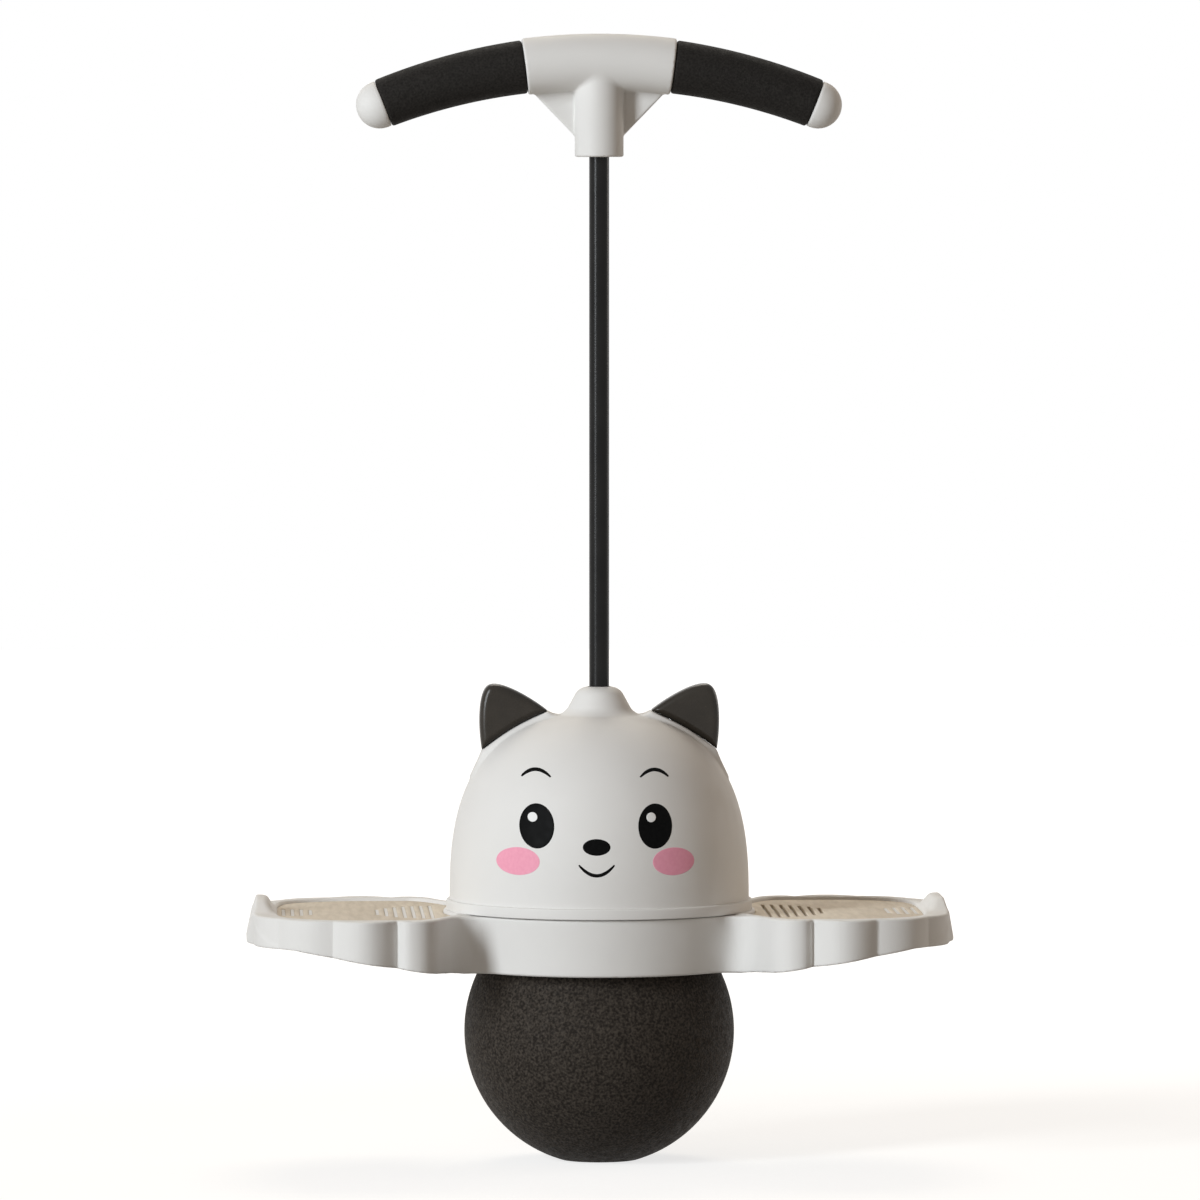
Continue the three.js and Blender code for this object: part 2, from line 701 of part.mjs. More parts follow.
function buildDome() {
  const room = domeSpace(wall / 2);
  const seats = bothSides(earSeatGeometry()).subtract(domeSpace(wall));
  const shellInner = ringInnerRadius(deckTop - spigotDepth) - fitGap - wall / 2;
  const post = rodGeometry(postRadius, seatTop + fitGap, deckTop + postTopRise);
  const web = slabGeometry(
    rectangle(0, shellInner - screwCircle, deckTop - spigotDepth, deckTop + postTopRise),
    ribThickness,
  );
  const socketOuter = poleRadius + fitGap + socketWall;
  const ribs = Array.from({ length: socketRibs }, (_, i) => {
    const rib = slabGeometry(rectangle(0, ringRadius, poleSeat, domeTop), ribThickness);
    return solid(rib.rotateZ((2 * Math.PI * (i + 0.5)) / socketRibs));
  });
  const sleeve = rod(socketOuter, socketBottom, domeTop - wall / 2, 2 * postSides);
  const socket = sleeve.add(joined(ribs).intersect(room));
  const bossLength = earScrewSeatDrop - wall / 2;
  const earBoss = rodGeometry(screwHeadRadius + wall / 2, -earScrewSeatDrop, bossLength - earScrewSeatDrop);
  const earBosses = joined(atEarScrews(earBoss).map(bothSides)).intersect(room);
  const posts = atScrews(post).add(atScrews(web));
  const earHole = rodGeometry(screwRadius + fitGap, -2 * earScrewSeatDrop, earScrewSeatDrop);
  const holes = [
    rod(poleRadius + fitGap, poleSeat, neckTop + wall, 2 * postSides),
    rod(boltRadius + fitGap, socketBottom - wall, poleSeat + wall),
    atScrews(rodGeometry(screwRadius + fitGap, seatTop - wall, seatTop + domeScrewGrip + wall)),
    ...atEarScrews(earHole).map(bothSides),
  ];
  const whole = joined([domeShell(), seats, socket, earBosses, posts]);
  addPiece(toy, "dome", whole.subtract(joined(holes)), finishes.shell);
}

function buildEars() {
  const path = new THREE.Path();
  path.moveTo(earBase, fitGap);
  path.bezierCurveTo(
    earBase - earShoulderIn, earShoulderHeight, earBase - earCrownIn, earHeight, earBase / 2, earHeight,
  );
  path.bezierCurveTo(earCrownIn, earHeight, earShoulderIn, earShoulderHeight, 0, fitGap);
  const upper = path.getPoints(curveSteps).map(({ x, y }) => [x, y]);
  const outline = [...upper.slice(0, -1), ...seatLine(fitGap).slice(0, -1)];
  const geometry = new THREE.ExtrudeGeometry(new THREE.Shape(vectors(outline)), {
    depth: earThickness - 2 * earBevel,
    bevelThickness: earBevel,
    bevelSize: earBevel,
    bevelOffset: -earBevel,
    bevelSegments: bevelSteps,
  });
  geometry.translate(0, 0, earBevel - earThickness / 2).rotateX(Math.PI / 2);
  const holes = earScrewPlaces.map((x) =>
    solid(rodGeometry(screwRadius + fitGap, -earScrewSeatDrop, earScrewGrip + fitGap).translate(x, 0, 0)),
  );
  const body = solid(geometry).subtract(joined(holes));
  for (const [side, group] of sides) {
    const ear = addPiece(group, `${side}_ear`, body, finishes.dark);
    ear.rotation.y = earTurn;
    ear.position.set(earStart[0], 0, earStart[1]);
  }
}

function buildPole() {
  const bore = poleRadius - poleWall;
  const tube = rod(poleRadius, poleBottom, poleTop, 2 * postSides);
  const inside = rod(bore, 0, poleTop + wall, 2 * postSides);
  const cross = crossRod(screwRadius + fitGap, -socketRadius, socketRadius, 0, crossScrewZ);
  addPiece(toy, "pole", tube.subtract(inside).subtract(cross), finishes.paint);

  const plug = rod(bore - fitGap, poleBottom, poleBottom + plugLength, 2 * postSides);
  const thread = rod(boltRadius + fitGap, 0, poleTop);
  addPiece(toy, "pole_end_plug", plug.subtract(thread), finishes.steel);

  const washerTop = socketBottom - fitGap;
  const washer = rod(washerRadius, washerTop - washerThickness, washerTop, 2 * postSides);
  addPiece(toy, "pole_washer", washer.subtract(thread), finishes.steel);

  const headTop = washerTop - washerThickness - fitGap;
  const head = rod(boltHeadRadius, headTop - boltHeadHeight, headTop, hexSides);
  const shank = rod(boltRadius, headTop - boltHeadHeight / 2, poleBottom + boltReach);
  addPiece(toy, "pole_bolt", head.add(shank), finishes.steel);
}

function barPoint(angle) {
  return new THREE.Vector3(barSweep * Math.sin(angle), 0, barCentreZ + barSweep * Math.cos(angle));
}

class BarCurve extends THREE.Curve {
  constructor(from, to) {
    super();
    this.from = from;
    this.to = to;
  }

  getPoint(t) {
    return barPoint(THREE.MathUtils.lerp(this.from, this.to, t));
  }
}

// A round bar along the handle's curve, with its radius given at each end
function bar(from, to, radiusFrom, radiusTo) {
  const section = new THREE.Shape().absarc(0, 0, 1, 0, 2 * Math.PI);
  const extrudePath = new BarCurve(from, to);
  const steps = Math.ceil(((to - from) * barSweep) / barStep);
  const geometry = new THREE.ExtrudeGeometry(section, { steps, curveSegments: barSides / 2, extrudePath });
  const places = geometry.getAttribute("position");
  const place = new THREE.Vector3();
  for (let i = 0; i < places.count; i += 1) {
    place.fromBufferAttribute(places, i);
    const angle = Math.atan2(place.x, place.z - barCentreZ);
    const centre = barPoint(angle);
    const radius = THREE.MathUtils.mapLinear(angle, from, to, radiusFrom, radiusTo);
    place.sub(centre).multiplyScalar(radius).add(centre);
    places.setXYZ(i, ...place);
  }
  return solid(geometry);
}

const handleScrewAngle = Math.asin(handleScrewSpan / barSweep);
const handleScrewZ = barPoint(handleScrewAngle).z;
const handleScrews = [
  ["handle_screw_right", handleScrewSpan, handleScrewZ, handleScrewSeat],
  ["handle_screw_left", -handleScrewSpan, handleScrewZ, handleScrewSeat],
  ["handle_cross_screw", 0, crossScrewZ, crossScrewSeat],
];

// The handle before it is split: bar, arms, socket and webs, hollowed out, with posts for the screws
function handleBody() {
  const overrun = armWall / barSweep;
  const innerAngle = barAngle - barWall / barSweep;
  const armAngle = gripAngle - fitGap / barSweep;
  const web = [
    [-gussetReach, barZ - barRadius / 2],
    [-gussetReach, barPoint(gussetReach / barSweep).z - barRadius + barWall / 2],
    [-socketRadius + barWall, handleBottom + gussetFoot],
    [socketRadius - barWall, handleBottom + gussetFoot],
    [gussetReach, barPoint(gussetReach / barSweep).z - barRadius + barWall / 2],
    [gussetReach, barZ - barRadius / 2],
  ];
  const outside = joined([
    bar(-barAngle, barAngle, barRadius, barRadius),
    bar(-armAngle, armAngle, armRadius, armRadius),
    rod(socketRadius, handleBottom, barZ, barSides),
    slab(web, gussetThickness),
  ]);
  const hollow = bar(-innerAngle, innerAngle, barRadius - barWall, barRadius - barWall).add(
    bar(-armAngle - overrun, armAngle + overrun, armRadius - armWall, armRadius - armWall),
  );
  const postOuter = screwHeadRadius + armWall;
  const posts = handleScrews.map(([, x, z]) => crossRod(postOuter, -barRadius, barRadius, x, z));
  const column = rod(poleRadius + fitGap + barWall, handleBottom, poleTop + barWall, barSides);
  const filled = outside.subtract(hollow).add(joined([...posts, column]).intersect(outside));
  const holes = handleScrews.flatMap(([, x, z, seat]) => [
    crossRod(screwRadius + fitGap, -handleScrewGrip - fitGap, seat + wall, x, z),
    crossRod(screwHeadRadius + fitGap, seat, 2 * barRadius, x, z),
  ]);
  return filled.subtract(joined([...holes, rod(poleRadius + fitGap, 0, poleTop + fitGap, 2 * postSides)]));
}

function buildHandle() {
  const body = handleBody();
  const reach = 2 * barSweep;
  const [below, above] = [handleBottom - wall, barZ + barSweep];
  const half = (from, to) => prism(rectangle(-reach, reach, from, to), below, above);
  addPiece(toy, "handle_front_shell", body.intersect(half(-reach, -fitGap / 2)), finishes.shell);
  addPiece(toy, "handle_rear_shell", body.intersect(half(fitGap / 2, reach)), finishes.shell);
}

function buildGrips() {
  const [from, to] = [barAngle + fitGap / barSweep, gripAngle - fitGap / barSweep];
  const overrun = wall / barSweep;
  const bore = armRadius + fitGap;
  const grip = bar(from, to, gripInnerRadius, gripOuterRadius).subtract(
    bar(from - overrun, to + overrun, bore, bore),
  );
  const shankRadius = armRadius - armWall - capShankGap;
  const cap = turned(
    [
      [0, -capShankLength],
      [shankRadius, -capShankLength],
      [shankRadius, 0],
      [capRadius, 0],
      ...arc([0, capRim], capRadius, 0, Math.PI / 2, capSteps),
    ],
    barSides,
  );
  for (const [side, group] of sides) {
    addPiece(group, `${side}_grip`, grip, finishes.foam);
    const piece = addPiece(group, `${side}_end_cap`, cap, finishes.shell);
    piece.rotation.y = Math.PI / 2 + gripAngle;
    piece.position.copy(barPoint(gripAngle));
  }
}

// A pan-head screw whose head sits under the seat at Z = 0
function screw(length) {
  return turned(
    [
      [0, -screwHeadHeight],
      [screwHeadRadius / 2, -screwHeadHeight],
      [screwHeadRadius, -screwHeadHeight / 2],
      [screwHeadRadius, 0],
      [screwRadius, 0],
      [screwRadius, length],
      [0, length],
    ],
    screwSides,
  );
}

function buildScrews() {
  const domeScrew = screw(wall + 2 * fitGap + domeScrewGrip);
  screwAngles.forEach((angle, i) => {
    const piece = addPiece(toy, `dome_screw_${i + 1}`, domeScrew, finishes.steel);
    piece.position.set(screwCircle * Math.cos(angle), screwCircle * Math.sin(angle), screwSeat - fitGap);
  });
  const earScrew = screw(earScrewSeatDrop + fitGap + earScrewGrip);
  for (const [side, group] of sides) {
    earScrewPlaces.forEach((x, i) => {
      const frame = new THREE.Group();
      frame.rotation.y = earTurn;
      frame.position.set(earStart[0], 0, earStart[1]);
      group.add(frame);
      const piece = addPiece(frame, `${side}_ear_screw_${i + 1}`, earScrew, finishes.steel);
      piece.position.set(x, 0, -earScrewSeatDrop - fitGap);
    });
  }
  for (const [name, x, z, seat] of handleScrews) {
    const piece = addPiece(toy, name, screw(seat + fitGap + handleScrewGrip), finishes.steel);
    piece.rotation.x = Math.PI / 2;
    piece.position.set(x, seat + fitGap, z);
  }
}

buildBall();
buildValve();
buildDeck();
buildPads();
buildDome();
buildEars();
buildPole();
buildHandle();
buildGrips();
buildScrews();

export default toy;
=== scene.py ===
import functools
import itertools
import json
from math import asin, atan2, ceil, cos, hypot, pi, radians, sin, sqrt

import bmesh
import bpy
import numpy as np
from mathutils import Matrix, Vector


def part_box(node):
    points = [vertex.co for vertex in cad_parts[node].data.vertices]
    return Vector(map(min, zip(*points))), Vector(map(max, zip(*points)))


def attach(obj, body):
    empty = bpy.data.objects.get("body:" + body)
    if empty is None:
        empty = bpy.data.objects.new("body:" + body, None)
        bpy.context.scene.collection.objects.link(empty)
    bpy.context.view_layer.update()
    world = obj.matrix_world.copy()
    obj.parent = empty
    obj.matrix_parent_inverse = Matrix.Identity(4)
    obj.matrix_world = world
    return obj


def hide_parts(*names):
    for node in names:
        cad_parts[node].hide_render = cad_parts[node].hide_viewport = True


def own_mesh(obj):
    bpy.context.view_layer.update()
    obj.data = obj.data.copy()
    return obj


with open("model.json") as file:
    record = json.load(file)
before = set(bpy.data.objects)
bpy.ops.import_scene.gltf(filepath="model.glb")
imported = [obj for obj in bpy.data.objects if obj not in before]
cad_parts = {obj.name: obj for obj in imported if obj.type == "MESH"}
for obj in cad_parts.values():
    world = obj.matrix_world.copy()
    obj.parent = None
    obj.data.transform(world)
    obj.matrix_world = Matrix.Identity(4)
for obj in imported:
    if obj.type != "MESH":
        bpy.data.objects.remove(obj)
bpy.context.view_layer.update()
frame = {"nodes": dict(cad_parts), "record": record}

# Driving sizes in millimetres, as on the solids. The front is at negative Y.
MM = 0.001  # metres in a millimetre
NO_LENGTH = 1e-6  # keeps a division from zero
FIT_GAP = 0.3
BALL_GAP = 0.5
WALL = 3

# Ball
BALL_RADIUS = 81
CONTACT_DEPTH = 3.4
WAIST_RISE = 54.8
UPPER_LOBE_BULGE = 4
VALVE_DROP = 30
VALVE_RADIUS = 4.5
VALVE_LENGTH = 6
VALVE_SINK = 0.5
NEEDLE_RADIUS = 0.7
NEEDLE_FUNNEL = 1.6

# Deck ring
LIP_RADIUS = 7
COLLAR_RISE = 11
RING_HEIGHT = 34.2
RING_CHANNEL = 8.4
RING_DRAFT = 4.7

# Pedal wings
ARMPIT_DEPTH = 40
ARMPIT_FILLET = 26
ROOT_RUN = 20
SHOULDER = (8, 84)  # out from the ring's top edge, and half depth
FIRST_LOBE = (25, 98)
FIRST_CUSP = (33, 92)
SECOND_CUSP = (71, 93)
THIRD_CUSP = (103, 72)
TIP_CORNER = (117, 40)
LOBE_BULGES = (11, 6, 4)
WING_REACH = 122
TIP_HALF_WIDTH = 20
TIP_LEAN = 6
WING_ROOT_HEIGHT = 33
TIP_HEIGHT = 17.5
TIP_LEVEL_RUN = 28
STOP_HEIGHT = 8.5
STOP_RUN = 18
STOP_TOP_RUN = 12.5
RIB_THICKNESS = 2.4
RIB_RECESS = 3
RIB_PITCH_X = 30
RIB_PITCH_Y = 46

# Pads
RIM_WIDTH = 5
PAD_THICKNESS = 2.3
PAD_RECESS = 1.2
PAD_FLANGE_CLEARANCE = 2
PAD_EDGE = 0.5
SLOT_WIDTH = 2
STRIP_SINK = 0.3  # the light strips in the slots, below the pad's top
STRIP_GAP = 0.08
SLOT_PITCH = 5.4
INNER_SLOTS = 7
# For the inner and outer slots: how far out the longest is, its length, the fade of the others, their places
SLOT_ROWS = ((11, 100, 6.6, range(INNER_SLOTS)), (94.2, 54, 3, range(-2, 2)))

# Dome
DOME_SQUARENESS = 2.6
FLANGE_GAP = 2
FLANGE_HEIGHT = 5
FLANGE_SEAM = 0.55  # the seam that shows between flange and deck
FLANGE_OVERHANG = 2
SEAT_INSET = 1
SPIGOT_DEPTH = 7
NECK_RISE = 15.6
NECK_TOP_RADIUS = 14.4
NECK_BASE_RADIUS = 21
NECK_EDGE = 1.4
NECK_ROUND = 4.5

# Ears
EAR_INNER = 30
EAR_OUTER = 67.6
EAR_SEAT_RISE = 3.6
EAR_SEAT_BOW = 1.6
EAR_HEIGHT = 31.5
EAR_SHOULDER_IN = 4
EAR_SHOULDER_HEIGHT = 11
EAR_CROWN_IN = 15
EAR_THICKNESS = 16
EAR_SEAT_MARGIN = 2
EAR_SEAT_TOE = 4
EAR_SEAT_HEEL_OUT = 13.5
EAR_SEAT_HEEL_DROP = 10.6

# Pole and handle
POLE_RADIUS = 6
POLE_WALL = 1.2
SOCKET_RADIUS = 14.6
BAR_RISE = 56.7
BAR_SWEEP = 350
BAR_LENGTH = 89
BAR_WALL = 2.8
ARM_RADIUS = 11.5
ARM_WALL = 2.8
GRIP_LENGTH = 88
GRIP_INNER_RADIUS = 16
GRIP_OUTER_RADIUS = 14.8
CAP_RADIUS = 14.2
CAP_RIM = 2
CAP_SHANK_LENGTH = 16
CAP_SHANK_GAP = 0.6
GUSSET_REACH = 40
GUSSET_FOOT = 9.6
GUSSET_BACK = 3
GUSSET_PANEL = 2.4  # the webs' flat panels, sunk in the solids' thicker webs
HANDLE_SCREW_SPAN = 28
HANDLE_SCREW_SEAT = 9
CROSS_SCREW_RISE = 20
CROSS_SCREW_SEAT = 9.5
HANDLE_SCREW_GRIP = 9

# Screws
SCREW_RADIUS = 1.75
SCREW_HEAD_RADIUS = 3.4
SCREW_HEAD_HEIGHT = 2.4
SCREW_SINK = 3


def node_box(name):
    low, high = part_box(name)
    return np.array(low) / MM, np.array(high) / MM


# Heights and radii that follow from the frame and the driving sizes
ball_centre = BALL_RADIUS - CONTACT_DEPTH
waist_z = ball_centre + WAIST_RISE
lip_centre = sqrt((BALL_RADIUS + BALL_GAP + LIP_RADIUS) ** 2 - WAIST_RISE**2)
upper_lobe_radius = lip_centre - LIP_RADIUS - BALL_GAP + UPPER_LOBE_BULGE
upper_centre = waist_z + sqrt((lip_centre + UPPER_LOBE_BULGE) ** 2 - lip_centre**2)
lower_lobe_end = atan2(WAIST_RISE, lip_centre)
upper_lobe_start = atan2(upper_centre - waist_z, lip_centre)

pad_top = node_box("right_pad")[1][2]
deck_top = pad_top + PAD_RECESS
ring_bottom = deck_top - RING_HEIGHT
channel_floor = ring_bottom + WALL
channel_inner = sqrt((BALL_RADIUS + BALL_GAP + WALL) ** 2 - (channel_floor - ball_centre) ** 2)
channel_outer = channel_inner + RING_CHANNEL
ring_bottom_radius = channel_outer + WALL
ring_radius = ring_bottom_radius + RING_DRAFT
screw_circle = (channel_inner + channel_outer) / 2
tip_x = ring_radius + WING_REACH
pocket_floor = pad_top - PAD_THICKNESS - FIT_GAP
plate_bottom = pocket_floor - WALL

flange_bottom = deck_top + FLANGE_GAP
dome_base = flange_bottom + FLANGE_HEIGHT
neck_top = node_box("dome")[1][2]
dome_top = neck_top - NECK_RISE
dome_height = dome_top - dome_base
flange_radius = ring_radius + FLANGE_OVERHANG
pad_inner_radius = flange_radius + PAD_FLANGE_CLEARANCE

pole_bottom = node_box("pole")[0][2]
pole_top = node_box("pole")[1][2]
handle_bottom = node_box("handle_front_shell")[0][2]
bar_z = handle_bottom + BAR_RISE
bar_radius = node_box("handle_front_shell")[1][2] - bar_z
wing_depth = node_box("deck")[1][1]
bar_centre_z = bar_z - BAR_SWEEP
grip_angle = (BAR_LENGTH / 2 + GRIP_LENGTH) / BAR_SWEEP
handle_screw_z = bar_centre_z + sqrt(BAR_SWEEP**2 - HANDLE_SCREW_SPAN**2)
cross_screw_z = handle_bottom + CROSS_SCREW_RISE

body_of = {node: body for body, nodes in frame["record"]["behaviour"]["bodies"].items() for node in nodes}
slot_of = {part["node"]: part["material_slot"] for part in frame["record"]["subparts"]}


# Finishes
def add_node(tree, kind, inputs, **settings):
    """A new node with its settings, whose inputs are set to values or linked from sockets."""
    node = tree.nodes.new(kind)
    for name, value in settings.items():
        setattr(node, name, value)
    for key, value in inputs.items():
        if isinstance(value, bpy.types.NodeSocket):
            tree.links.new(value, node.inputs[key])
        else:
            node.inputs[key].default_value = value
    return node


def spread(tree, factor, start, end):
    """A factor taken from one range to another."""
    ends = zip(("From Min", "From Max", "To Min", "To Max"), (*start, *end))
    return add_node(tree, "ShaderNodeMapRange", {"Value": factor, **dict(ends)}).outputs["Result"]


CELLS = None  # in the place of a noise's detail
EVEN = (1, 1, 1)
GRAIN = (0.5, 4, 1)  # the pads' grain runs along the slots
NOISE_RANGE = (0.3, 0.7)  # where most of a noise lies
SHADE_RANGE = (0.35, 0.65)
METAL = 1
INK_SHINE = (1.45, 0.04)
INK_NOISE = (2, 3)
INK_ROUGHNESS = ((4, 2), 0.42, 0.52)
INK_RELIEF = [((0.7, 2), 0.012)]


def texture(tree, size, detail, stretch=EVEN):
    """A noise in object space, or cells, with features about size millimetres across."""
    place = tree.nodes.new("ShaderNodeTexCoord").outputs["Object"]
    mapping = {"Vector": place, "Scale": [1 / share for share in stretch]}
    place = add_node(tree, "ShaderNodeMapping", mapping).outputs["Vector"]
    inputs = {"Vector": place, "Scale": 1 / (size * MM)}
    if detail is CELLS:
        return add_node(tree, "ShaderNodeTexVoronoi", inputs).outputs["Distance"]
    return add_node(tree, "ShaderNodeTexNoise", {**inputs, "Detail": detail}).outputs["Fac"]


def make_look(name, shine, colour, roughness, relief):
    """A finish: shader values, and textures for its colour, its roughness and its layers of relief."""
    material = bpy.data.materials.new(name)
    material.use_nodes = True
    tree = material.node_tree
    inputs = tree.nodes["Principled BSDF"].inputs
    for socket, value in zip(("IOR", "Specular IOR Level", "Metallic"), shine):
        inputs[socket].default_value = value
    noise, low, high, *ends = colour
    ramp = add_node(tree, "ShaderNodeValToRGB", {"Fac": texture(tree, *noise)})
    for stop, place, shade in zip(ramp.color_ramp.elements, ends or SHADE_RANGE, (low, high)):
        stop.position = place
        stop.color = (*shade, 1)
    tree.links.new(ramp.outputs["Color"], inputs["Base Color"])
    noise, *ends = roughness
    tree.links.new(spread(tree, texture(tree, *noise), NOISE_RANGE, ends), inputs["Roughness"])
    under = {}
    for noise, depth in relief:
        bump = {"Height": texture(tree, *noise), "Distance": depth * MM, **under}
        under = {"Normal": add_node(tree, "ShaderNodeBump", bump).outputs["Normal"]}
    tree.links.new(under["Normal"], inputs["Normal"])
    return material


# IOR and specular level, (noise, low, high) for colour and for roughness, and (noise, depth in millimetres)
# for each layer of relief. A noise is its size in millimetres, its detail and any stretch.
FINISHES = {
    "ball_rubber": (
        (1.5, 0.08),
        ((1.5, 3), (0.014, 0.0112, 0.009), (0.066, 0.055, 0.045), 0.38, 0.68),
        ((4, 2), 0.55, 0.75),
        [((1.5, 3), 0.6), ((0.6, 1), 0.1)],
    ),
    "valve_rubber": (
        (1.5, 0.5),
        ((1.5, 2), (0.009, 0.009, 0.009), (0.016, 0.016, 0.015)),
        ((2, 2), 0.5, 0.65),
        [((0.4, 1), 0.02)],
    ),
    "shell_plastic": (
        (1.49, 0.3),
        ((60, 3), (0.745, 0.735, 0.715), (0.77, 0.76, 0.74)),
        ((9, 4), 0.55, 0.68),
        [((0.7, 2), 0.02), ((14, 1), 0.03)],
    ),
    "ear_plastic": (
        (1.49, 0.24),
        ((18, 4), (0.022, 0.018, 0.0135), (0.032, 0.0265, 0.0205)),
        ((5, 3), 0.24, 0.32),
        [((0.5, 2), 0.015), ((11, 1), 0.03)],
    ),
    "grip_foam": (
        (1.45, 0.1),
        ((1.2, 4), (0.011, 0.01, 0.009), (0.024, 0.022, 0.02)),
        ((3, 3), 0.62, 0.8),
        [((0.6, CELLS), 0.06), ((9, 2), 0.08)],
    ),
    "pad_rubber": (
        (1.45, 0.5),
        ((7, 5, GRAIN), (0.61, 0.535, 0.43), (0.71, 0.63, 0.515)),
        ((3, 3), 0.62, 0.8),
        [((0.5, 2), 0.05), ((3, 2, GRAIN), 0.05)],
    ),
    "pole_paint": (
        (1.5, 0.14),
        ((25, 3), (0.007, 0.0068, 0.0066), (0.012, 0.0115, 0.011)),
        ((2.5, 3), 0.2, 0.28),
        [((1.1, 1), 0.02)],
    ),
    "fastener_steel": (
        (1.5, 0.5, METAL),
        ((1.5, 3), (0.48, 0.475, 0.46), (0.6, 0.6, 0.58)),
        ((0.8, 3), 0.24, 0.42),
        [((0.3, 1), 0.008)],
    ),
}


def make_ink(name, low, high):
    return make_look(name, INK_SHINE, (INK_NOISE, low, high), INK_ROUGHNESS, INK_RELIEF)


looks = {name: make_look(name, *finish) for name, finish in FINISHES.items()}
black_ink = make_ink("black_ink", (0.002, 0.002, 0.002), (0.004, 0.004, 0.004))
white_ink = make_ink("white_ink", (0.84, 0.84, 0.83), (0.88, 0.88, 0.87))
pink_ink = make_ink("pink_ink", (0.87, 0.36, 0.48), (0.9, 0.39, 0.51))


# Meshes
SHARP = 50  # degrees, above which an edge stays sharp
EDGE_STEPS = 6  # on a small rounded edge
ROUND_SIDES = 96  # round the pole, the grips and the caps


def new_object(name, points, faces, look, sharp=None):
    """An object from points in millimetres, smooth but for edges sharper than an angle in degrees."""
    mesh = bpy.data.meshes.new(name)
    mesh.from_pydata((np.asarray(points) * MM).tolist(), [], [list(face) for face in faces])
    mesh.validate()
    mesh.shade_smooth()
    if sharp:
        mesh.set_sharp_from_angle(angle=radians(sharp))
    mesh.materials.append(look)
    piece = bpy.data.objects.new(name, mesh)
    bpy.context.scene.collection.objects.link(piece)
    return piece


def bake_modifiers(piece):
    bpy.context.view_layer.update()
    depsgraph = bpy.context.evaluated_depsgraph_get()
    piece.data = bpy.data.meshes.new_from_object(piece.evaluated_get(depsgraph))
    piece.modifiers.clear()


def lighten(piece, triangles):
    """Joins faces where a piece is flat, down to a number of triangles."""
    count = sum(len(polygon.vertices) - 2 for polygon in piece.data.polygons)
    modifier = piece.modifiers.new("lighten", "DECIMATE")
    modifier.ratio = min(1, triangles / count)
    bake_modifiers(piece)
    piece.modifiers.new("flat_faces", "WEIGHTED_NORMAL").keep_sharp = True


def look_of(node):
    return looks[slot_of[node]]


def stand_for(piece, node):
    """Puts a piece in the place of a CAD node, on its body, and hides the node."""
    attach(piece, body_of[node])
    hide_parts(node)
    return piece


def build_piece(node, suffix, points, faces, sharp=None, triangles=None):
    """A piece that stands for a CAD node, with fewer triangles if a number is given."""
    piece = new_object(f"{node}_{suffix}", points, faces, look_of(node), sharp)
    if triangles:
        lighten(piece, triangles)
    return stand_for(piece, node)


def half_turn(points):
    return np.asarray(points) * [-1, -1, 1]


def build_pair(node, suffix, points, faces, *options):
    """The right piece and its half-turned copy on the left."""
    right = build_piece(f"right_{node}", suffix, points, faces, *options)
    return right, build_piece(f"left_{node}", suffix, half_turn(points), faces, *options)


def loft(rows, loop=False):
    """Points and faces of a skin over closed rows of points, with a fan over each end unless it loops."""
    rows = np.asarray(rows)
    count, sides = rows.shape[:2]
    row = np.arange(count if loop else count - 1)[:, None]
    side = np.arange(sides)[None, :]
    after = (row + 1) % count * sides
    turn = (side + 1) % sides
    corners = (row * sides + side, row * sides + turn, after + turn, after + side)
    faces = np.stack(np.broadcast_arrays(*corners), -1).reshape(-1, 4).tolist()
    points = rows.reshape(-1, 3)
    if not loop:
        points = np.vstack([points, rows[0].mean(0), rows[-1].mean(0)])
        first, last = count * sides, count * sides + 1
        base = (count - 1) * sides
        for i in range(sides):
            faces.append([first, (i + 1) % sides, i])
            faces.append([last, base + i, base + (i + 1) % sides])
    return points, faces


def ring_of(sides):
    """Cosines and sines once round."""
    angle = np.linspace(0, 2 * pi, sides, endpoint=False)
    return np.stack([np.cos(angle), np.sin(angle)], -1)


def turned_rows(profile, sides):
    """Rings about Z through (radius, z) points that run up the outside."""
    ring = ring_of(sides)
    return [np.column_stack([radius * ring, np.full(sides, z)]) for radius, z in profile]


def turned(profile, sides, loop=False):
    return loft(turned_rows(profile, sides), loop)


def arc(centre, radius, start, end, steps):
    angle = np.linspace(start, end, steps + 1)
    return np.stack([centre[0] + radius * np.cos(angle), centre[1] + radius * np.sin(angle)], -1)


def bezier(controls, steps):
    share = np.linspace(0, 1, steps + 1)[:, None]
    points = [np.array(control) for control in controls]
    while len(points) > 1:
        points = [(1 - share) * start + share * end for start, end in zip(points, points[1:])]
    return points[0]


def inset(outline, distance):
    """A counterclockwise outline moved inwards."""
    edge = np.roll(outline, -1, 0) - outline
    inward = np.stack([-edge[:, 1], edge[:, 0]], -1) / np.linalg.norm(edge, axis=1)[:, None]
    before = np.roll(inward, 1, 0)
    mitre = distance / (1 + (before * inward).sum(1))
    return outline + mitre[:, None] * (before + inward)


def rounded(corners, steps):
    """A closed outline with each corner rounded from the middle of one side to the middle of the next."""
    middles = (corners + np.roll(corners, -1, 0)) / 2
    runs = zip(np.roll(middles, 1, 0), corners, middles)
    return np.vstack([bezier(run, steps)[:-1] for run in runs])


def front_and_back(front):
    front = np.asarray(front)
    return np.vstack([front, (front * [1, -1])[::-1]])


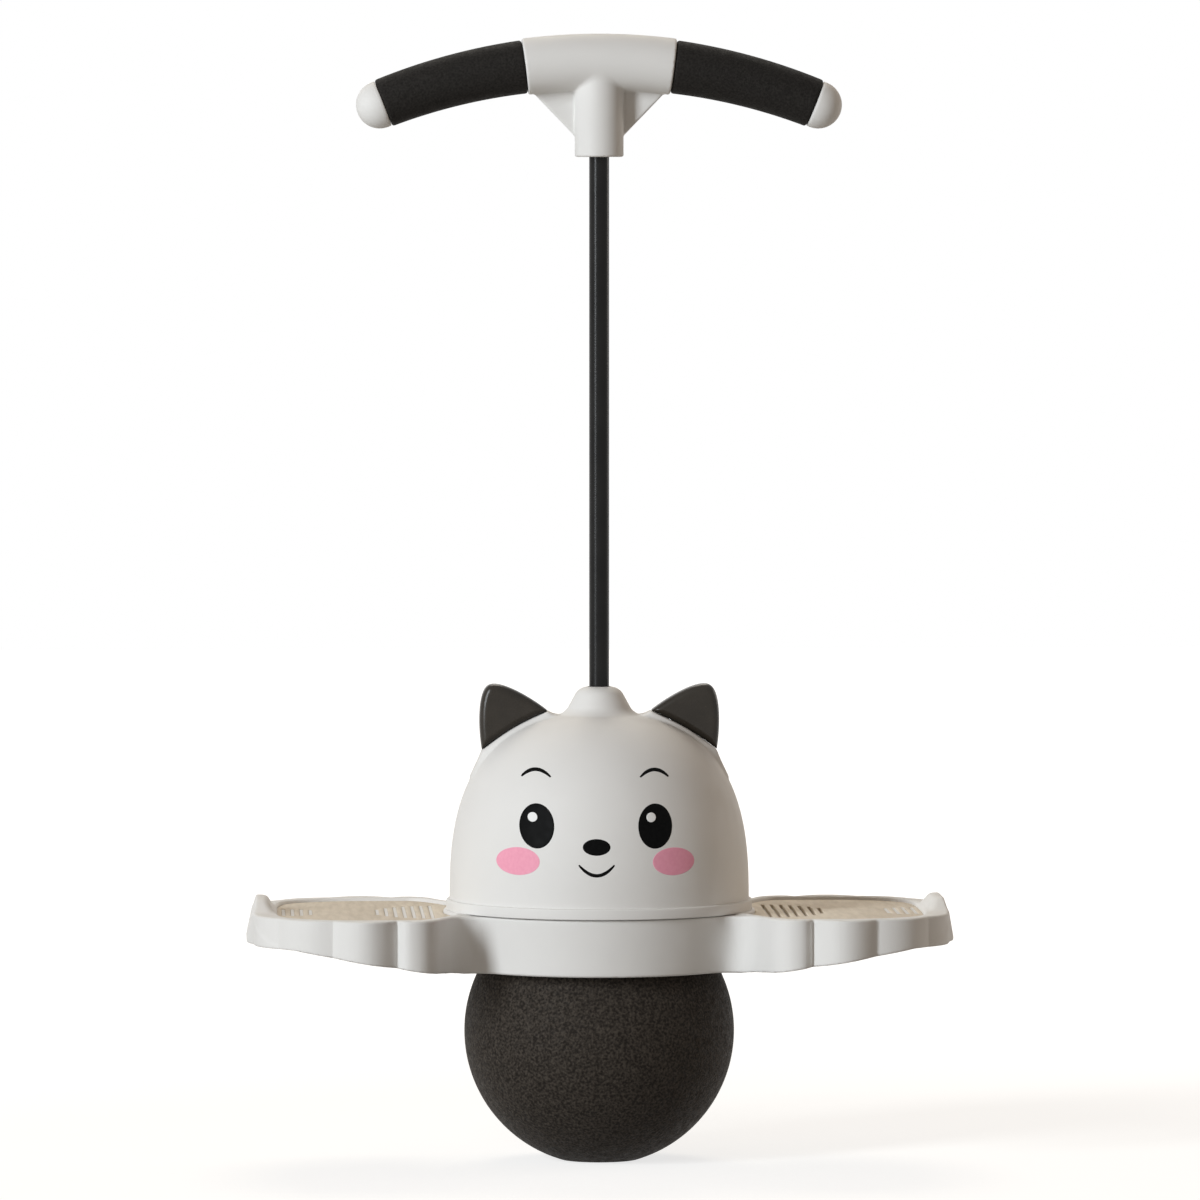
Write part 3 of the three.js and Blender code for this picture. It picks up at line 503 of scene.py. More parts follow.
# Fields: distances in millimetres, negative inside
def polygon_distance(points, outline):
    x, y = points[..., 0], points[..., 1]
    nearest = np.full(x.shape, np.inf)
    inside = np.zeros(x.shape, bool)
    for (x0, y0), (x1, y1) in zip(outline, np.roll(outline, -1, 0)):
        across, up = x1 - x0, y1 - y0
        share = ((x - x0) * across + (y - y0) * up) / max(across**2 + up**2, NO_LENGTH**2)
        share = np.clip(share, 0, 1)
        nearest = np.minimum(nearest, (x - x0 - share * across) ** 2 + (y - y0 - share * up) ** 2)
        if y0 != y1:
            inside ^= ((y0 > y) != (y1 > y)) & (x < across * (y - y0) / up + x0)
    distance = np.sqrt(nearest)
    return np.where(inside, -distance, distance)


def round_max(a, b, radius):
    """What is in both fields, with the edge between them rounded."""
    corner = np.hypot(np.maximum(a + radius, 0), np.maximum(b + radius, 0))
    return np.minimum(np.maximum(a, b), -radius) + corner


def round_min(a, b, radius):
    """What is in either field, with a fillet between them."""
    return -round_max(-a, -b, radius)


def meet(*fields):
    """What is in all the fields."""
    return functools.reduce(np.maximum, fields)


def join(*fields):
    """What is in any of the fields."""
    return functools.reduce(np.minimum, fields)


def plan_distance(across, up, outline):
    """Distances from an outline on a flat grid."""
    return polygon_distance(np.stack(np.meshgrid(across, up, indexing="ij"), -1), outline)


def moved(cells, axes, offset):
    cells = cells.copy()
    cells[:, axes] += offset
    return cells


def at(field, cells):
    return field[tuple(cells.T)]


def surface_nets(field, low, cell):
    """Points and quads on the zero level of a field that is sampled on a grid."""
    inside = field < 0
    shape = np.array(field.shape) - 1
    count = np.zeros(shape, np.int8)
    for i, j, k in itertools.product((0, 1), repeat=3):
        count += inside[i : i + shape[0], j : j + shape[1], k : k + shape[2]]
    mixed = (count > 0) & (count < 8)
    cells = np.argwhere(mixed)
    number = np.full(shape, -1)
    number[mixed] = np.arange(len(cells))
    total = np.zeros((len(cells), 3))
    hits = np.zeros((len(cells), 1))
    faces = []
    for axis in range(3):
        step = np.eye(3, dtype=int)[axis]
        others = [a for a in range(3) if a != axis]
        for offset in itertools.product((0, 1), repeat=2):
            corner = moved(cells, others, offset)
            near, far = at(field, corner), at(field, corner + step)
            crossed = (near < 0) != (far < 0)
            share = near[crossed] / (near[crossed] - far[crossed])
            total[crossed] += corner[crossed] + share[:, None] * step
            hits[crossed] += 1
        window = [slice(1, -1)] * 3
        window[axis] = slice(None)
        changed = np.diff(inside[tuple(window)], axis=axis)
        edges = moved(np.argwhere(changed), others, 1)
        around = ((-1, -1), (0, -1), (0, 0), (-1, 0))
        quad = np.stack([at(number, moved(edges, others, offset)) for offset in around], -1)
        turned_over = at(inside, edges) == (axis == 1)
        quad[turned_over] = quad[turned_over][:, ::-1]
        faces.append(quad)
    return low + cell * total / hits, np.vstack(faces).tolist()


def grid_axis(low, high, cell):
    return low + cell * np.arange(ceil((high - low) / cell) + 1)


def mirrored(field, axis):
    """A field for positive coordinates, with its mirror image put before it."""
    widths = [(0, 0)] * 3
    widths[axis] = (field.shape[axis] - 1, 0)
    return np.pad(field, widths, mode="reflect")


# Ball
BALL_SIDES = 160
BALL_STEPS = (72, 18, 36)  # on the lower lobe, the waist and the upper lobe
VALVE_SIDES = 48
VALVE_EDGE = 0.8
FUNNEL_DISH = 0.4


def lobes(depth, start_z, end_z, steps):
    """The ball's lower lobe, waist and upper lobe, moved out by a depth, as (radius, z) points."""
    lower, upper = BALL_RADIUS + depth, upper_lobe_radius + depth
    start = asin((start_z - ball_centre) / lower)
    end = asin(min(1, (end_z - upper_centre) / upper))
    waist = (LIP_RADIUS + BALL_GAP - depth, pi + lower_lobe_end, pi - upper_lobe_start)
    return np.vstack(
        [
            arc((0, ball_centre), lower, start, lower_lobe_end, steps[0]),
            arc((lip_centre, waist_z), *waist, steps[1])[1:-1],
            arc((0, upper_centre), upper, -upper_lobe_start, end, steps[2]),
        ]
    )


def ball_profile():
    flat = sqrt(BALL_RADIUS**2 - ball_centre**2)
    return np.vstack([[[flat / 2, 0]], lobes(0, 0, upper_centre + upper_lobe_radius, BALL_STEPS)[:-1]])


# The valve points out of the rear of the lower lobe
valve_turn = Matrix.Rotation(-(pi / 2 + asin(VALVE_DROP / BALL_RADIUS)), 4, "X")
valve_place = Matrix.Translation((0, 0, ball_centre * MM)) @ valve_turn


def cut(piece, tool):
    """Takes a tool's shape out of a piece, and the tool away."""
    modifier = piece.modifiers.new("cut", "BOOLEAN")
    modifier.operation = "DIFFERENCE"
    modifier.solver = "EXACT"
    modifier.object = tool
    bake_modifiers(piece)
    bpy.data.objects.remove(tool)


def build_ball():
    ball = new_object("ball_skin", *turned(ball_profile(), BALL_SIDES), look_of("ball"))
    bore = VALVE_RADIUS + FIT_GAP
    drill = turned([(bore, BALL_RADIUS - VALVE_LENGTH), (bore, BALL_RADIUS + VALVE_LENGTH)], VALVE_SIDES)
    hole = new_object("valve_hole", *drill, look_of("ball"))
    hole.data.transform(valve_place)
    cut(ball, hole)
    ball.data.set_sharp_from_angle(angle=radians(SHARP))
    stand_for(ball, "ball")
    plug = turned(valve_profile(), VALVE_SIDES, loop=True)
    valve = build_piece("ball_valve", "plug", *plug, SHARP)
    valve.data.transform(valve_place)
    for piece in (ball, valve):
        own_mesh(piece)


def valve_profile():
    inner = BALL_RADIUS - VALVE_LENGTH + FIT_GAP
    face = BALL_RADIUS - VALVE_SINK
    rim = arc((VALVE_RADIUS - VALVE_EDGE, face - VALVE_EDGE), VALVE_EDGE, 0, pi / 2, EDGE_STEPS)
    dish = [[2 * NEEDLE_FUNNEL, face], [NEEDLE_FUNNEL, face - FUNNEL_DISH]]
    return np.vstack(
        [[[NEEDLE_RADIUS, inner], [VALVE_RADIUS, inner]], rim, dish, [[NEEDLE_RADIUS, face - NEEDLE_FUNNEL]]]
    )


# Deck
DECK_CELL = 1.0
DECK_TRIANGLES = 90000
TOP_EDGE = 0.9
STOP_EDGE = 1.8
RING_EDGE = 1.2
BOTTOM_EDGE = 0.7
RIM_RISE = 0.8  # the wing's rim above the solid's deck
LOBE_STEPS = 20
POST_TURNS = (pi / 6, pi / 2)  # of a quarter's screw posts
COLLAR_STEPS = (6, 8, 4)  # on the lower seat, the lip and the upper seat
DEPTH_SHARE = 0.9997  # keeps the skin inside the solid's depth

armpit = np.array([sqrt(ring_radius**2 - ARMPIT_DEPTH**2), -ARMPIT_DEPTH])


def wing_point(place):
    return np.array([ring_radius + place[0], -place[1]])


shoulder = wing_point(SHOULDER)
wall_run = (shoulder - armpit) / np.linalg.norm(shoulder - armpit)
wing_root = armpit - ROOT_RUN * wall_run


def on_wall(depth):
    """A point on the line of the wing's inner wall, at a half depth."""
    return shoulder + wall_run * (-depth - shoulder[1]) / wall_run[1]


def lobe(start, end, bulge):
    """A lobe of the wing's edge that bulges out of the line between two cusps."""
    along = (end - start) / np.linalg.norm(end - start)
    control = (start + end) / 2 + 2 * bulge * np.array([along[1], -along[0]])
    return bezier([start, control, end], LOBE_STEPS)[1:]


def wing_outline():
    crest = wing_point(FIRST_LOBE)
    cusps = [wing_point(place) for place in (FIRST_CUSP, SECOND_CUSP, THIRD_CUSP, TIP_CORNER)]
    run_out = np.array([(crest[0] + 2 * cusps[0][0]) / 3, crest[1]])
    parts = [
        [wing_root],
        bezier([shoulder, on_wall(FIRST_LOBE[1]), crest], LOBE_STEPS),
        bezier([crest, run_out, cusps[0]], LOBE_STEPS)[1:],
    ]
    parts += [lobe(*ends) for ends in zip(cusps, cusps[1:], LOBE_BULGES)]
    return front_and_back(np.vstack([*parts, [tip_x, -TIP_HALF_WIDTH]]))


def pad_outline(margin):
    """The wing's cusps joined by straight sides, moved in from the edge and rounded."""
    corners = [
        wing_root,
        on_wall(FIRST_CUSP[1]),
        wing_point(FIRST_CUSP),
        wing_point(SECOND_CUSP),
        wing_point(THIRD_CUSP),
        np.array([tip_x - STOP_RUN + RIM_WIDTH, -TIP_CORNER[1]]),
    ]
    return rounded(inset(front_and_back(corners), margin), LOBE_STEPS)


def ring_section():
    """The ring's collar, floor and outer wall, run out past the outer face, which the disc cuts."""
    beyond = ring_radius + WALL
    collar_top = waist_z + COLLAR_RISE
    return np.vstack(
        [
            lobes(BALL_GAP, ring_bottom, collar_top, COLLAR_STEPS)[::-1],
            [[beyond, ring_bottom], [beyond, deck_top], [ring_radius - WALL, deck_top]],
            [[channel_outer, channel_floor]],
            lobes(BALL_GAP + WALL, channel_floor, collar_top, COLLAR_STEPS),
        ]
    )


def deck_field(x, y, z):
    walls = plan_distance(x, y, wing_outline())[:, :, None]
    pad = plan_distance(x, y, pad_outline(RIM_WIDTH))[:, :, None]
    rib_places = np.arange(ring_radius + RIB_PITCH_X, tip_x - WALL, RIB_PITCH_X)
    x, y, z = np.ix_(x, y, z)
    radius = np.hypot(x, y)

    draft = RING_DRAFT / RING_HEIGHT
    ring_wall = (radius - ring_radius + draft * (deck_top - z)) / hypot(1, draft)
    disc = round_max(round_max(ring_wall, z - deck_top, RING_EDGE), ring_bottom - z, RING_EDGE)

    lean = TIP_LEAN / (TIP_HEIGHT + STOP_HEIGHT)
    end_wall = (x - tip_x + lean * (z - deck_top + TIP_HEIGHT)) / hypot(1, lean)
    slope = (WING_ROOT_HEIGHT - TIP_HEIGHT) / (WING_REACH - TIP_LEVEL_RUN)
    fall = slope * np.maximum(tip_x - TIP_LEVEL_RUN - x, 0)
    bottom = np.maximum(deck_top - TIP_HEIGHT - fall, ring_bottom)
    underside = (bottom - z) / hypot(1, slope)
    sides = round_max(walls, end_wall, TOP_EDGE)
    body = round_min(ring_wall, sides, ARMPIT_FILLET)
    rim_top = deck_top + RIM_RISE * np.clip(1 - walls / RIM_WIDTH, 0, 1)

    foot = deck_top - PAD_RECESS
    rise = STOP_HEIGHT + PAD_RECESS
    run = STOP_RUN - STOP_TOP_RUN
    side_run = TIP_CORNER[1] - TIP_HALF_WIDTH
    inner_slope = ((z - foot) * run - (x - tip_x + STOP_RUN) * rise) / hypot(run, rise)
    side_slope = ((z - foot) * side_run - (TIP_CORNER[1] - y) * rise) / hypot(side_run, rise)
    stop = round_max(inner_slope, side_slope, 2 * STOP_EDGE)
    stop = round_max(stop, z - deck_top - STOP_HEIGHT, STOP_EDGE)
    stop = round_max(stop, sides, TOP_EDGE)

    pocket = meet(pad, pocket_floor - z, pad_inner_radius - FIT_GAP - radius)
    rim = round_max(round_max(body, z - rim_top, TOP_EDGE), -pocket, RIM_RISE)
    wing = round_max(round_min(rim, stop, STOP_EDGE), underside, BOTTOM_EDGE)

    hollow = meet(walls + WALL, z - plate_bottom, end_wall + WALL, -ring_wall)
    ribs = [np.abs(x - place - RIB_THICKNESS / 2) for place in rib_places]
    ribs += [np.abs(y - place) for place in (0, RIB_PITCH_Y)]
    rib = meet(join(*ribs) - RIB_THICKNESS / 2, bottom + RIB_RECESS - z)
    outer = round_max(join(disc, wing), -meet(hollow, -rib), BOTTOM_EDGE / 2)

    section = polygon_distance(np.stack(np.broadcast_arrays(radius, z), -1), ring_section())
    deck = join(meet(outer, -ring_wall - WALL / 2), meet(section, disc))
    seat_top = ring_bottom + SCREW_SINK + WALL
    for turn in POST_TURNS:
        away = np.hypot(x - screw_circle * cos(turn), y - screw_circle * sin(turn))
        post = meet(away - RING_CHANNEL / 2, channel_floor - WALL / 2 - z, z - seat_top)
        sink = meet(away - SCREW_HEAD_RADIUS - FIT_GAP, z - ring_bottom - SCREW_SINK)
        deck = meet(join(deck, post), -join(sink, away - SCREW_RADIUS - FIT_GAP))
    return deck


def build_deck():
    margin = 2 * DECK_CELL
    x = grid_axis(0, tip_x + margin, DECK_CELL)
    y = grid_axis(0, FIRST_LOBE[1] + LOBE_BULGES[0], DECK_CELL)
    z = grid_axis(ring_bottom - margin, deck_top + STOP_HEIGHT + margin, DECK_CELL)
    field = mirrored(mirrored(deck_field(x, y, z), 0), 1)
    points, faces = surface_nets(field, np.array([-x[-1], -y[-1], z[0]]), DECK_CELL)
    points[:, 1] *= DEPTH_SHARE * wing_depth / points[:, 1].max()
    build_piece("deck", "skin", points, faces, triangles=DECK_TRIANGLES)


# Pads
SLOT_END_STEPS = 8
FLANGE_ARC_STEPS = 60
EDGE_TURN = 0.3  # where a sheet's softened edge turns, as a share of it


def slot_outline(x, length):
    end = arc((0, (length - SLOT_WIDTH) / 2), SLOT_WIDTH / 2, 0, pi, SLOT_END_STEPS)
    return np.vstack([end, -end]) + [x, 0]


def pad_slots():
    slots = []
    for out, longest, fade, places in SLOT_ROWS:
        for place in places:
            length = longest * sqrt(1 - (place / fade) ** 2)
            slots.append(slot_outline(ring_radius + out + place * SLOT_PITCH, length))
    return slots


def clear_of_flange(outline):
    """A pad's outline with the part near the dome's flange cut away along an arc."""
    outside = np.hypot(*outline.T) > pad_inner_radius
    first = next(i for i in range(len(outline)) if outside[i] and not outside[i - 1])
    kept = np.roll(outline, -first, 0)[: outside.sum()]
    start, end = (atan2(y, x) for x, y in (kept[-1], kept[0]))
    return np.vstack([kept, arc((0, 0), pad_inner_radius, start, end, FLANGE_ARC_STEPS)])


def plate(outline, holes, bottom, top, edge):
    """Points and faces of a flat sheet with holes and softened upper edges."""
    sheet = bmesh.new()
    upper, lower = [], []
    for loop, side in [(outline, 1)] + [(hole, -1) for hole in holes]:
        turn = EDGE_TURN * edge
        levels = [(0, bottom), (0, top - edge), (turn, top - turn), (edge, top)]
        rows = []
        for move, z in levels:
            rows.append([sheet.verts.new((x, y, z)) for x, y in inset(loop, side * move)])
        for low, high in zip(rows, rows[1:]):
            for i in range(len(loop)):
                sheet.faces.new((low[i - 1], low[i], high[i], high[i - 1]))
        upper += [sheet.edges.get((rows[-1][i - 1], rows[-1][i])) for i in range(len(loop))]
        lower += [sheet.edges.get((rows[0][i - 1], rows[0][i])) for i in range(len(loop))]
    for edges in (upper, lower):
        bmesh.ops.triangle_fill(sheet, edges=edges, use_beauty=True)
    bmesh.ops.recalc_face_normals(sheet, faces=sheet.faces)
    sheet.verts.index_update()
    points = [tuple(vertex.co) for vertex in sheet.verts]
    faces = [[vertex.index for vertex in face.verts] for face in sheet.faces]
    sheet.free()
    return points, faces


def build_painted_light_strips():
    """Light strips of the deck that show in the left pad's slots and in the right pad's tip slots: painted
    light and shade.
    """
    slots = pad_slots()
    bottom, top = pocket_floor + FIT_GAP / 2, pad_top - STRIP_SINK
    # Painted light and shade: the two pads are alike, but only the left slots and the right tip slots get
    # strips, so the right pad's inner slots stay open and dark.
    for side, kept in (("right", slots[INNER_SLOTS:]), ("left", slots)):
        points, faces = [], []
        for outline in kept:
            loop = inset(outline, STRIP_GAP)
            rows = [np.column_stack([loop, np.full(len(loop), z)]) for z in (bottom, top)]
            more, sheets = loft(rows)
            faces += [[corner + len(points) for corner in sheet] for sheet in sheets]
            points += more.tolist()
        places = points if side == "right" else half_turn(points)
        strips = new_object(f"{side}_painted_light_slot_strips", places, faces, looks["shell_plastic"], SHARP)
        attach(strips, "frame")


def build_pads():
    outline = clear_of_flange(pad_outline(RIM_WIDTH + FIT_GAP))
    sheet = plate(outline, pad_slots(), pocket_floor + FIT_GAP, pad_top, PAD_EDGE)
    for pad in build_pair("pad", "sheet", *sheet, SHARP):
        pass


# Dome
DOME_SIDES = 440
DOME_INNER_ROWS = 40
DOME_OUTER_ROWS = 119
NECK_ROWS = 36
NECK_TURN = radians(13)  # from the pole's axis, where the rows draw closer for the neck
FIRST_REACH = 1.4  # of the dome's height, outside all of it
REACH_STEPS = 60
REACH_SHARE = 0.8  # of the field, as each step towards the surface
NECK_FILLET = 4.0
SEAT_FILLET = 3.0
SEAT_EDGE = 1.5
SEAT_STEPS = 24
FLANGE_EDGE = 1.2
UNDER_STEPS = 4


def dome_z(radius):
    share = 1 - (radius / ring_radius) ** DOME_SQUARENESS
    return dome_base + dome_height * share ** (1 / DOME_SQUARENESS)


def dome_slope(radius, height):
    """How fast the dome's superellipse grows outwards and upwards."""
    power = DOME_SQUARENESS - 1
    out = np.abs(radius / ring_radius) ** power / ring_radius
    up = np.abs(height / dome_height) ** power / dome_height
    return out, up


def dome_field(radius, z):
    height = np.maximum(z - dome_base, 0)
    shares = (radius / ring_radius) ** DOME_SQUARENESS + (height / dome_height) ** DOME_SQUARENESS
    size = np.maximum(shares, NO_LENGTH) ** (1 / DOME_SQUARENESS)
    out, up = dome_slope(radius, height)
    slope = np.hypot(out, up) * size ** (1 - DOME_SQUARENESS)
    return (size - 1) / slope


def ear_end(radius):
    """An end of the ear's base, above the dome."""
    z = dome_z(radius)
    out, up = dome_slope(radius, z - dome_base)
    return np.array([radius, z]) + EAR_SEAT_RISE * np.array([out, up]) / hypot(out, up)


ear_start, ear_stop = ear_end(EAR_INNER), ear_end(EAR_OUTER)
ear_base = np.linalg.norm(ear_stop - ear_start)
ear_run = (ear_stop - ear_start) / ear_base
ear_up = np.array([-ear_run[1], ear_run[0]])


def seat_line(lift):
    return bezier([(0, lift), (ear_base / 2, lift + 2 * EAR_SEAT_BOW), (ear_base, lift)], SEAT_STEPS)


def seat_outline():
    return np.vstack(
        [
            [[-EAR_SEAT_TOE, -2 * EAR_SEAT_TOE]],
            seat_line(0),
            [[ear_base + EAR_SEAT_HEEL_OUT, -EAR_SEAT_HEEL_DROP]],
            [[ear_base + EAR_SEAT_TOE, -2 * EAR_SEAT_HEEL_DROP]],
        ]
    )


def dome_outside(x, y, z):
    """The dome with its neck and ear seats."""
    radius = np.hypot(x, y)
    neck_base_z = dome_z(NECK_BASE_RADIUS)
    flare = (NECK_BASE_RADIUS - NECK_TOP_RADIUS) / (neck_top - NECK_ROUND - neck_base_z)
    cone = (radius - NECK_TOP_RADIUS - flare * (neck_top - NECK_ROUND - z)) / hypot(1, flare)
    neck = round_max(cone, z - neck_top, NECK_ROUND)
    across, above = np.abs(x) - ear_start[0], z - ear_start[1]
    flat = np.stack([across * ear_run[0] + above * ear_run[1], across * ear_up[0] + above * ear_up[1]], -1)
    thick = np.abs(y) - EAR_THICKNESS / 2 - EAR_SEAT_MARGIN
    seat = round_max(polygon_distance(flat, seat_outline()), thick, SEAT_EDGE)
    return round_min(round_min(dome_field(radius, z), neck, NECK_FILLET), seat, SEAT_FILLET)


def dome_rows():
    """Rows of points on the dome's outside, from its base up to the neck, seen from the base's centre."""
    rim = atan2(NECK_TOP_RADIUS - NECK_ROUND, neck_top - dome_base)
    below = np.linspace(pi / 2, NECK_TURN, DOME_OUTER_ROWS, endpoint=False)
    polar = np.concatenate([below, np.linspace(NECK_TURN, rim, NECK_ROWS)])
    out, up = np.sin(polar)[:, None], np.cos(polar)[:, None]
    ring = ring_of(DOME_SIDES)
    ray = np.stack(np.broadcast_arrays(out * ring[:, 0], out * ring[:, 1], up), -1)
    reach = np.full(ray.shape[:2], FIRST_REACH * dome_height)
    for _ in range(REACH_STEPS):
        place = reach[..., None] * ray
        reach -= REACH_SHARE * dome_outside(place[..., 0], place[..., 1], place[..., 2] + dome_base)
    return reach[..., None] * ray + [0, 0, dome_base]


def ring_inner_radius(z):
    draft = (ring_radius - WALL - channel_outer) / (deck_top - channel_floor)
    return ring_radius - WALL - draft * (deck_top - z)


def flange_profile():
    """From the inside of the spigot round the flange to the dome's base."""
    seat = deck_top + FIT_GAP
    seam_top = deck_top + FLANGE_SEAM
    spigot_bottom = deck_top - SPIGOT_DEPTH
    upper, lower = ring_inner_radius(deck_top) - FIT_GAP, ring_inner_radius(spigot_bottom) - FIT_GAP
    edge, half = FLANGE_EDGE, FLANGE_EDGE / 2
    return np.vstack(
        [
            [[upper - WALL, deck_top], [lower - WALL, spigot_bottom], [lower, spigot_bottom], [upper, seat]],
            [[ring_radius - SEAT_INSET, seat], [ring_radius - SEAT_INSET, seam_top]],
            arc((flange_radius - half, seam_top + half), half, -pi / 2, 0, UNDER_STEPS),
            arc((flange_radius - edge, dome_base - edge), edge, 0, pi / 2, EDGE_STEPS),
        ]
    )


def build_dome():
    bore = POLE_RADIUS + FIT_GAP
    power = 2 / DOME_SQUARENESS
    bore_turn = asin((bore / (ring_radius - WALL)) ** (1 / power))
    turn = np.linspace(bore_turn, pi / 2, DOME_INNER_ROWS)
    out, up = np.sin(turn) ** power, np.abs(np.cos(turn)) ** power
    inside = np.column_stack([(ring_radius - WALL) * out, dome_base + (dome_height - WALL) * up])
    lower = turned_rows(np.vstack([inside, flange_profile()]), DOME_SIDES)
    mouth = [(bore + NECK_EDGE / 2, neck_top), (bore, neck_top - NECK_EDGE / 2)]
    rows = lower + list(dome_rows()) + turned_rows(mouth, DOME_SIDES)
    build_piece("dome", "skin", *loft(rows, loop=True), SHARP)


# Ears
EAR_CELL = 0.6
EAR_EDGE = 4.6
EAR_TRIANGLES = 12000
EAR_STEPS = 40


def ear_outline():
    foot = (ear_base, FIT_GAP)
    side = (ear_base - EAR_SHOULDER_IN, EAR_SHOULDER_HEIGHT)
    crown = (ear_base - EAR_CROWN_IN, EAR_HEIGHT)
    outer = bezier([foot, side, crown, (ear_base / 2, EAR_HEIGHT)], EAR_STEPS)
    inner = (outer * [-1, 1] + [ear_base, 0])[::-1]
    return np.vstack([outer[:-1], inner[:-1], seat_line(FIT_GAP)[:-1]])


def build_ears():
    margin = 2 * EAR_CELL
    along = grid_axis(-margin, ear_base + margin, EAR_CELL)
    depth = grid_axis(0, EAR_THICKNESS / 2 + margin, EAR_CELL)
    above = grid_axis(-margin, EAR_HEIGHT + margin, EAR_CELL)
    flat = plan_distance(along, above, ear_outline())[:, None, :]
    field = round_max(flat, depth[None, :, None] - EAR_THICKNESS / 2, EAR_EDGE)
    points, faces = surface_nets(mirrored(field, 1), np.array([along[0], -depth[-1], above[0]]), EAR_CELL)
    turn = ear_start + points[:, :1] * ear_run + points[:, 2:] * ear_up
    points = np.column_stack([turn[:, 0], points[:, 1], turn[:, 1]])
    build_pair("ear", "skin", points, faces, None, EAR_TRIANGLES)


# Face: a plain animal face printed on the dome's front, of simple ovals and arcs
INK_LIFT = 0.12
INK_ROOT = 0.3
INK_EDGE = 0.4
INK_EDGE_LIFT = 0.75  # of the lift, where an oval's edge turns
INK_RINGS = (0.15, 0.9, 6)  # first and last ring inside the edge, as shares of the way in, and how many
INK_SIDES = 72
FACE_SHIFT = -5.0  # the print is set a little to the left of the deck's middle
EYE_PLACE = (35.0, 48.5)  # out from the face's middle, and above the dome's base
EYE_SIZE = (10.2, 13.2)
GLINT_SHIFT = (-2.4, 5.2)
GLINT_RADIUS = 2.9
NOSE_HEIGHT = 36.5
NOSE_SIZE = (8.2, 4.9)
CHEEK_PLACE = (46.0, 27.5)
CHEEK_SIZE = (12.6, 8.2)
BROW_HEIGHT = 77.0
BROW_SPAN = 17.0
BROW_RISE = 4.2
MOUTH_HEIGHT = 26.0
MOUTH_SPAN = 21.0
MOUTH_DROP = 6.2
STROKE_WIDTH = 2.1
STROKE_TAPER = 0.55
STROKE_TOP = 0.7  # of the half width, where a stroke's edge turns
STROKE_STEPS = 33
STROKE_SHARP = 60


def on_dome(x, z, lift):
    """Points on the dome's front at places in the front view, lifted off its surface."""
    height = z - dome_base
    radius = ring_radius * (1 - (height / dome_height) ** DOME_SQUARENESS) ** (1 / DOME_SQUARENESS)
    y = -np.sqrt(radius**2 - x**2)
    out, up = dome_slope(radius, height)
    normal = np.stack([x / radius * out, y / radius * out, up], -1)
    normal /= np.linalg.norm(normal, axis=-1)[..., None]
    return np.stack([x, y, z], -1) + lift * normal


def print_oval(name, centre, size, ink, lift=INK_LIFT):
    ring = ring_of(INK_SIDES)
    levels = [(0, -INK_ROOT), (0, 0), (INK_EDGE / 3, INK_EDGE_LIFT * lift), (INK_EDGE, lift)]
    levels += [(INK_EDGE + (size[1] - INK_EDGE) * share, lift) for share in np.linspace(*INK_RINGS)]
    rows = []
    for inward, height in levels:
        x = centre[0] + (size[0] - inward * size[0] / size[1]) * ring[:, 0]
        z = dome_base + centre[1] + (size[1] - inward) * ring[:, 1]
        rows.append(on_dome(x, z, height))
    piece = new_object(name, *loft(rows), ink)
    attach(piece, "frame")


def print_stroke(name, curve, ink):
    """A line of ink along (x, height) points, thinned towards its ends."""
    along = np.gradient(curve, axis=0)
    across = np.stack([-along[:, 1], along[:, 0]], -1) / np.linalg.norm(along, axis=1)[:, None]
    share = np.linspace(-1, 1, len(curve))
    half = STROKE_WIDTH / 2 * (1 - STROKE_TAPER * np.abs(share) ** 3)
    half_section = [(1, -INK_ROOT), (1, 0), (STROKE_TOP, INK_LIFT), (0, INK_LIFT)]
    section = half_section + [(-offset, height) for offset, height in half_section[-2::-1]]
    columns = []
    for offset, height in section:
        place = curve + offset * half[:, None] * across
        columns.append(on_dome(place[:, 0], dome_base + place[:, 1], height))
    piece = new_object(name, *loft(np.stack(columns, 1)), ink, STROKE_SHARP)
    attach(piece, "frame")


def arched(centre, span, rise):
    share = np.linspace(-1, 1, STROKE_STEPS)
    return np.stack([centre[0] + share * span / 2, centre[1] + rise * (1 - share**2)], -1)


def build_face():
    for side, sign in (("right", 1), ("left", -1)):
        eye = (FACE_SHIFT + sign * EYE_PLACE[0], EYE_PLACE[1])
        cheek = (FACE_SHIFT + sign * CHEEK_PLACE[0], CHEEK_PLACE[1])
        glint = (eye[0] + GLINT_SHIFT[0], eye[1] + GLINT_SHIFT[1])
        print_oval(f"{side}_eye_print", eye, EYE_SIZE, black_ink)
        print_oval(f"{side}_glint_print", glint, (GLINT_RADIUS, GLINT_RADIUS), white_ink, 2 * INK_LIFT)
        print_oval(f"{side}_cheek_print", cheek, CHEEK_SIZE, pink_ink, INK_LIFT / 2)
        print_stroke(f"{side}_brow_print", arched((eye[0], BROW_HEIGHT), BROW_SPAN, BROW_RISE), black_ink)
    print_oval("nose_print", (FACE_SHIFT, NOSE_HEIGHT), NOSE_SIZE, black_ink)
    print_stroke("mouth_print", arched((FACE_SHIFT, MOUTH_HEIGHT), MOUTH_SPAN, -MOUTH_DROP), black_ink)


# Pole
POLE_EDGE = 0.4
POLE_ROWS = 40


def build_pole():
    edge = POLE_EDGE
    inside, outside = POLE_RADIUS - POLE_WALL, POLE_RADIUS
    end = [(inside, edge), (inside + edge, 0), (outside - edge, 0), (outside, edge)]
    heights = np.linspace(pole_bottom + 2 * edge, pole_top - 2 * edge, POLE_ROWS)
    profile = [(radius, pole_bottom + away) for radius, away in end]
    profile += [(outside, z) for z in heights]
    profile += [(radius, pole_top - away) for radius, away in end[::-1]]
    build_piece("pole", "tube", *turned(profile, ROUND_SIDES, loop=True), SHARP)


# Handle
HANDLE_CELL = 0.8
HANDLE_TRIANGLES = 30000
BAR_EDGE = 1.0
SOCKET_FILLET = 1.6
PARTING_EDGE = 0.4


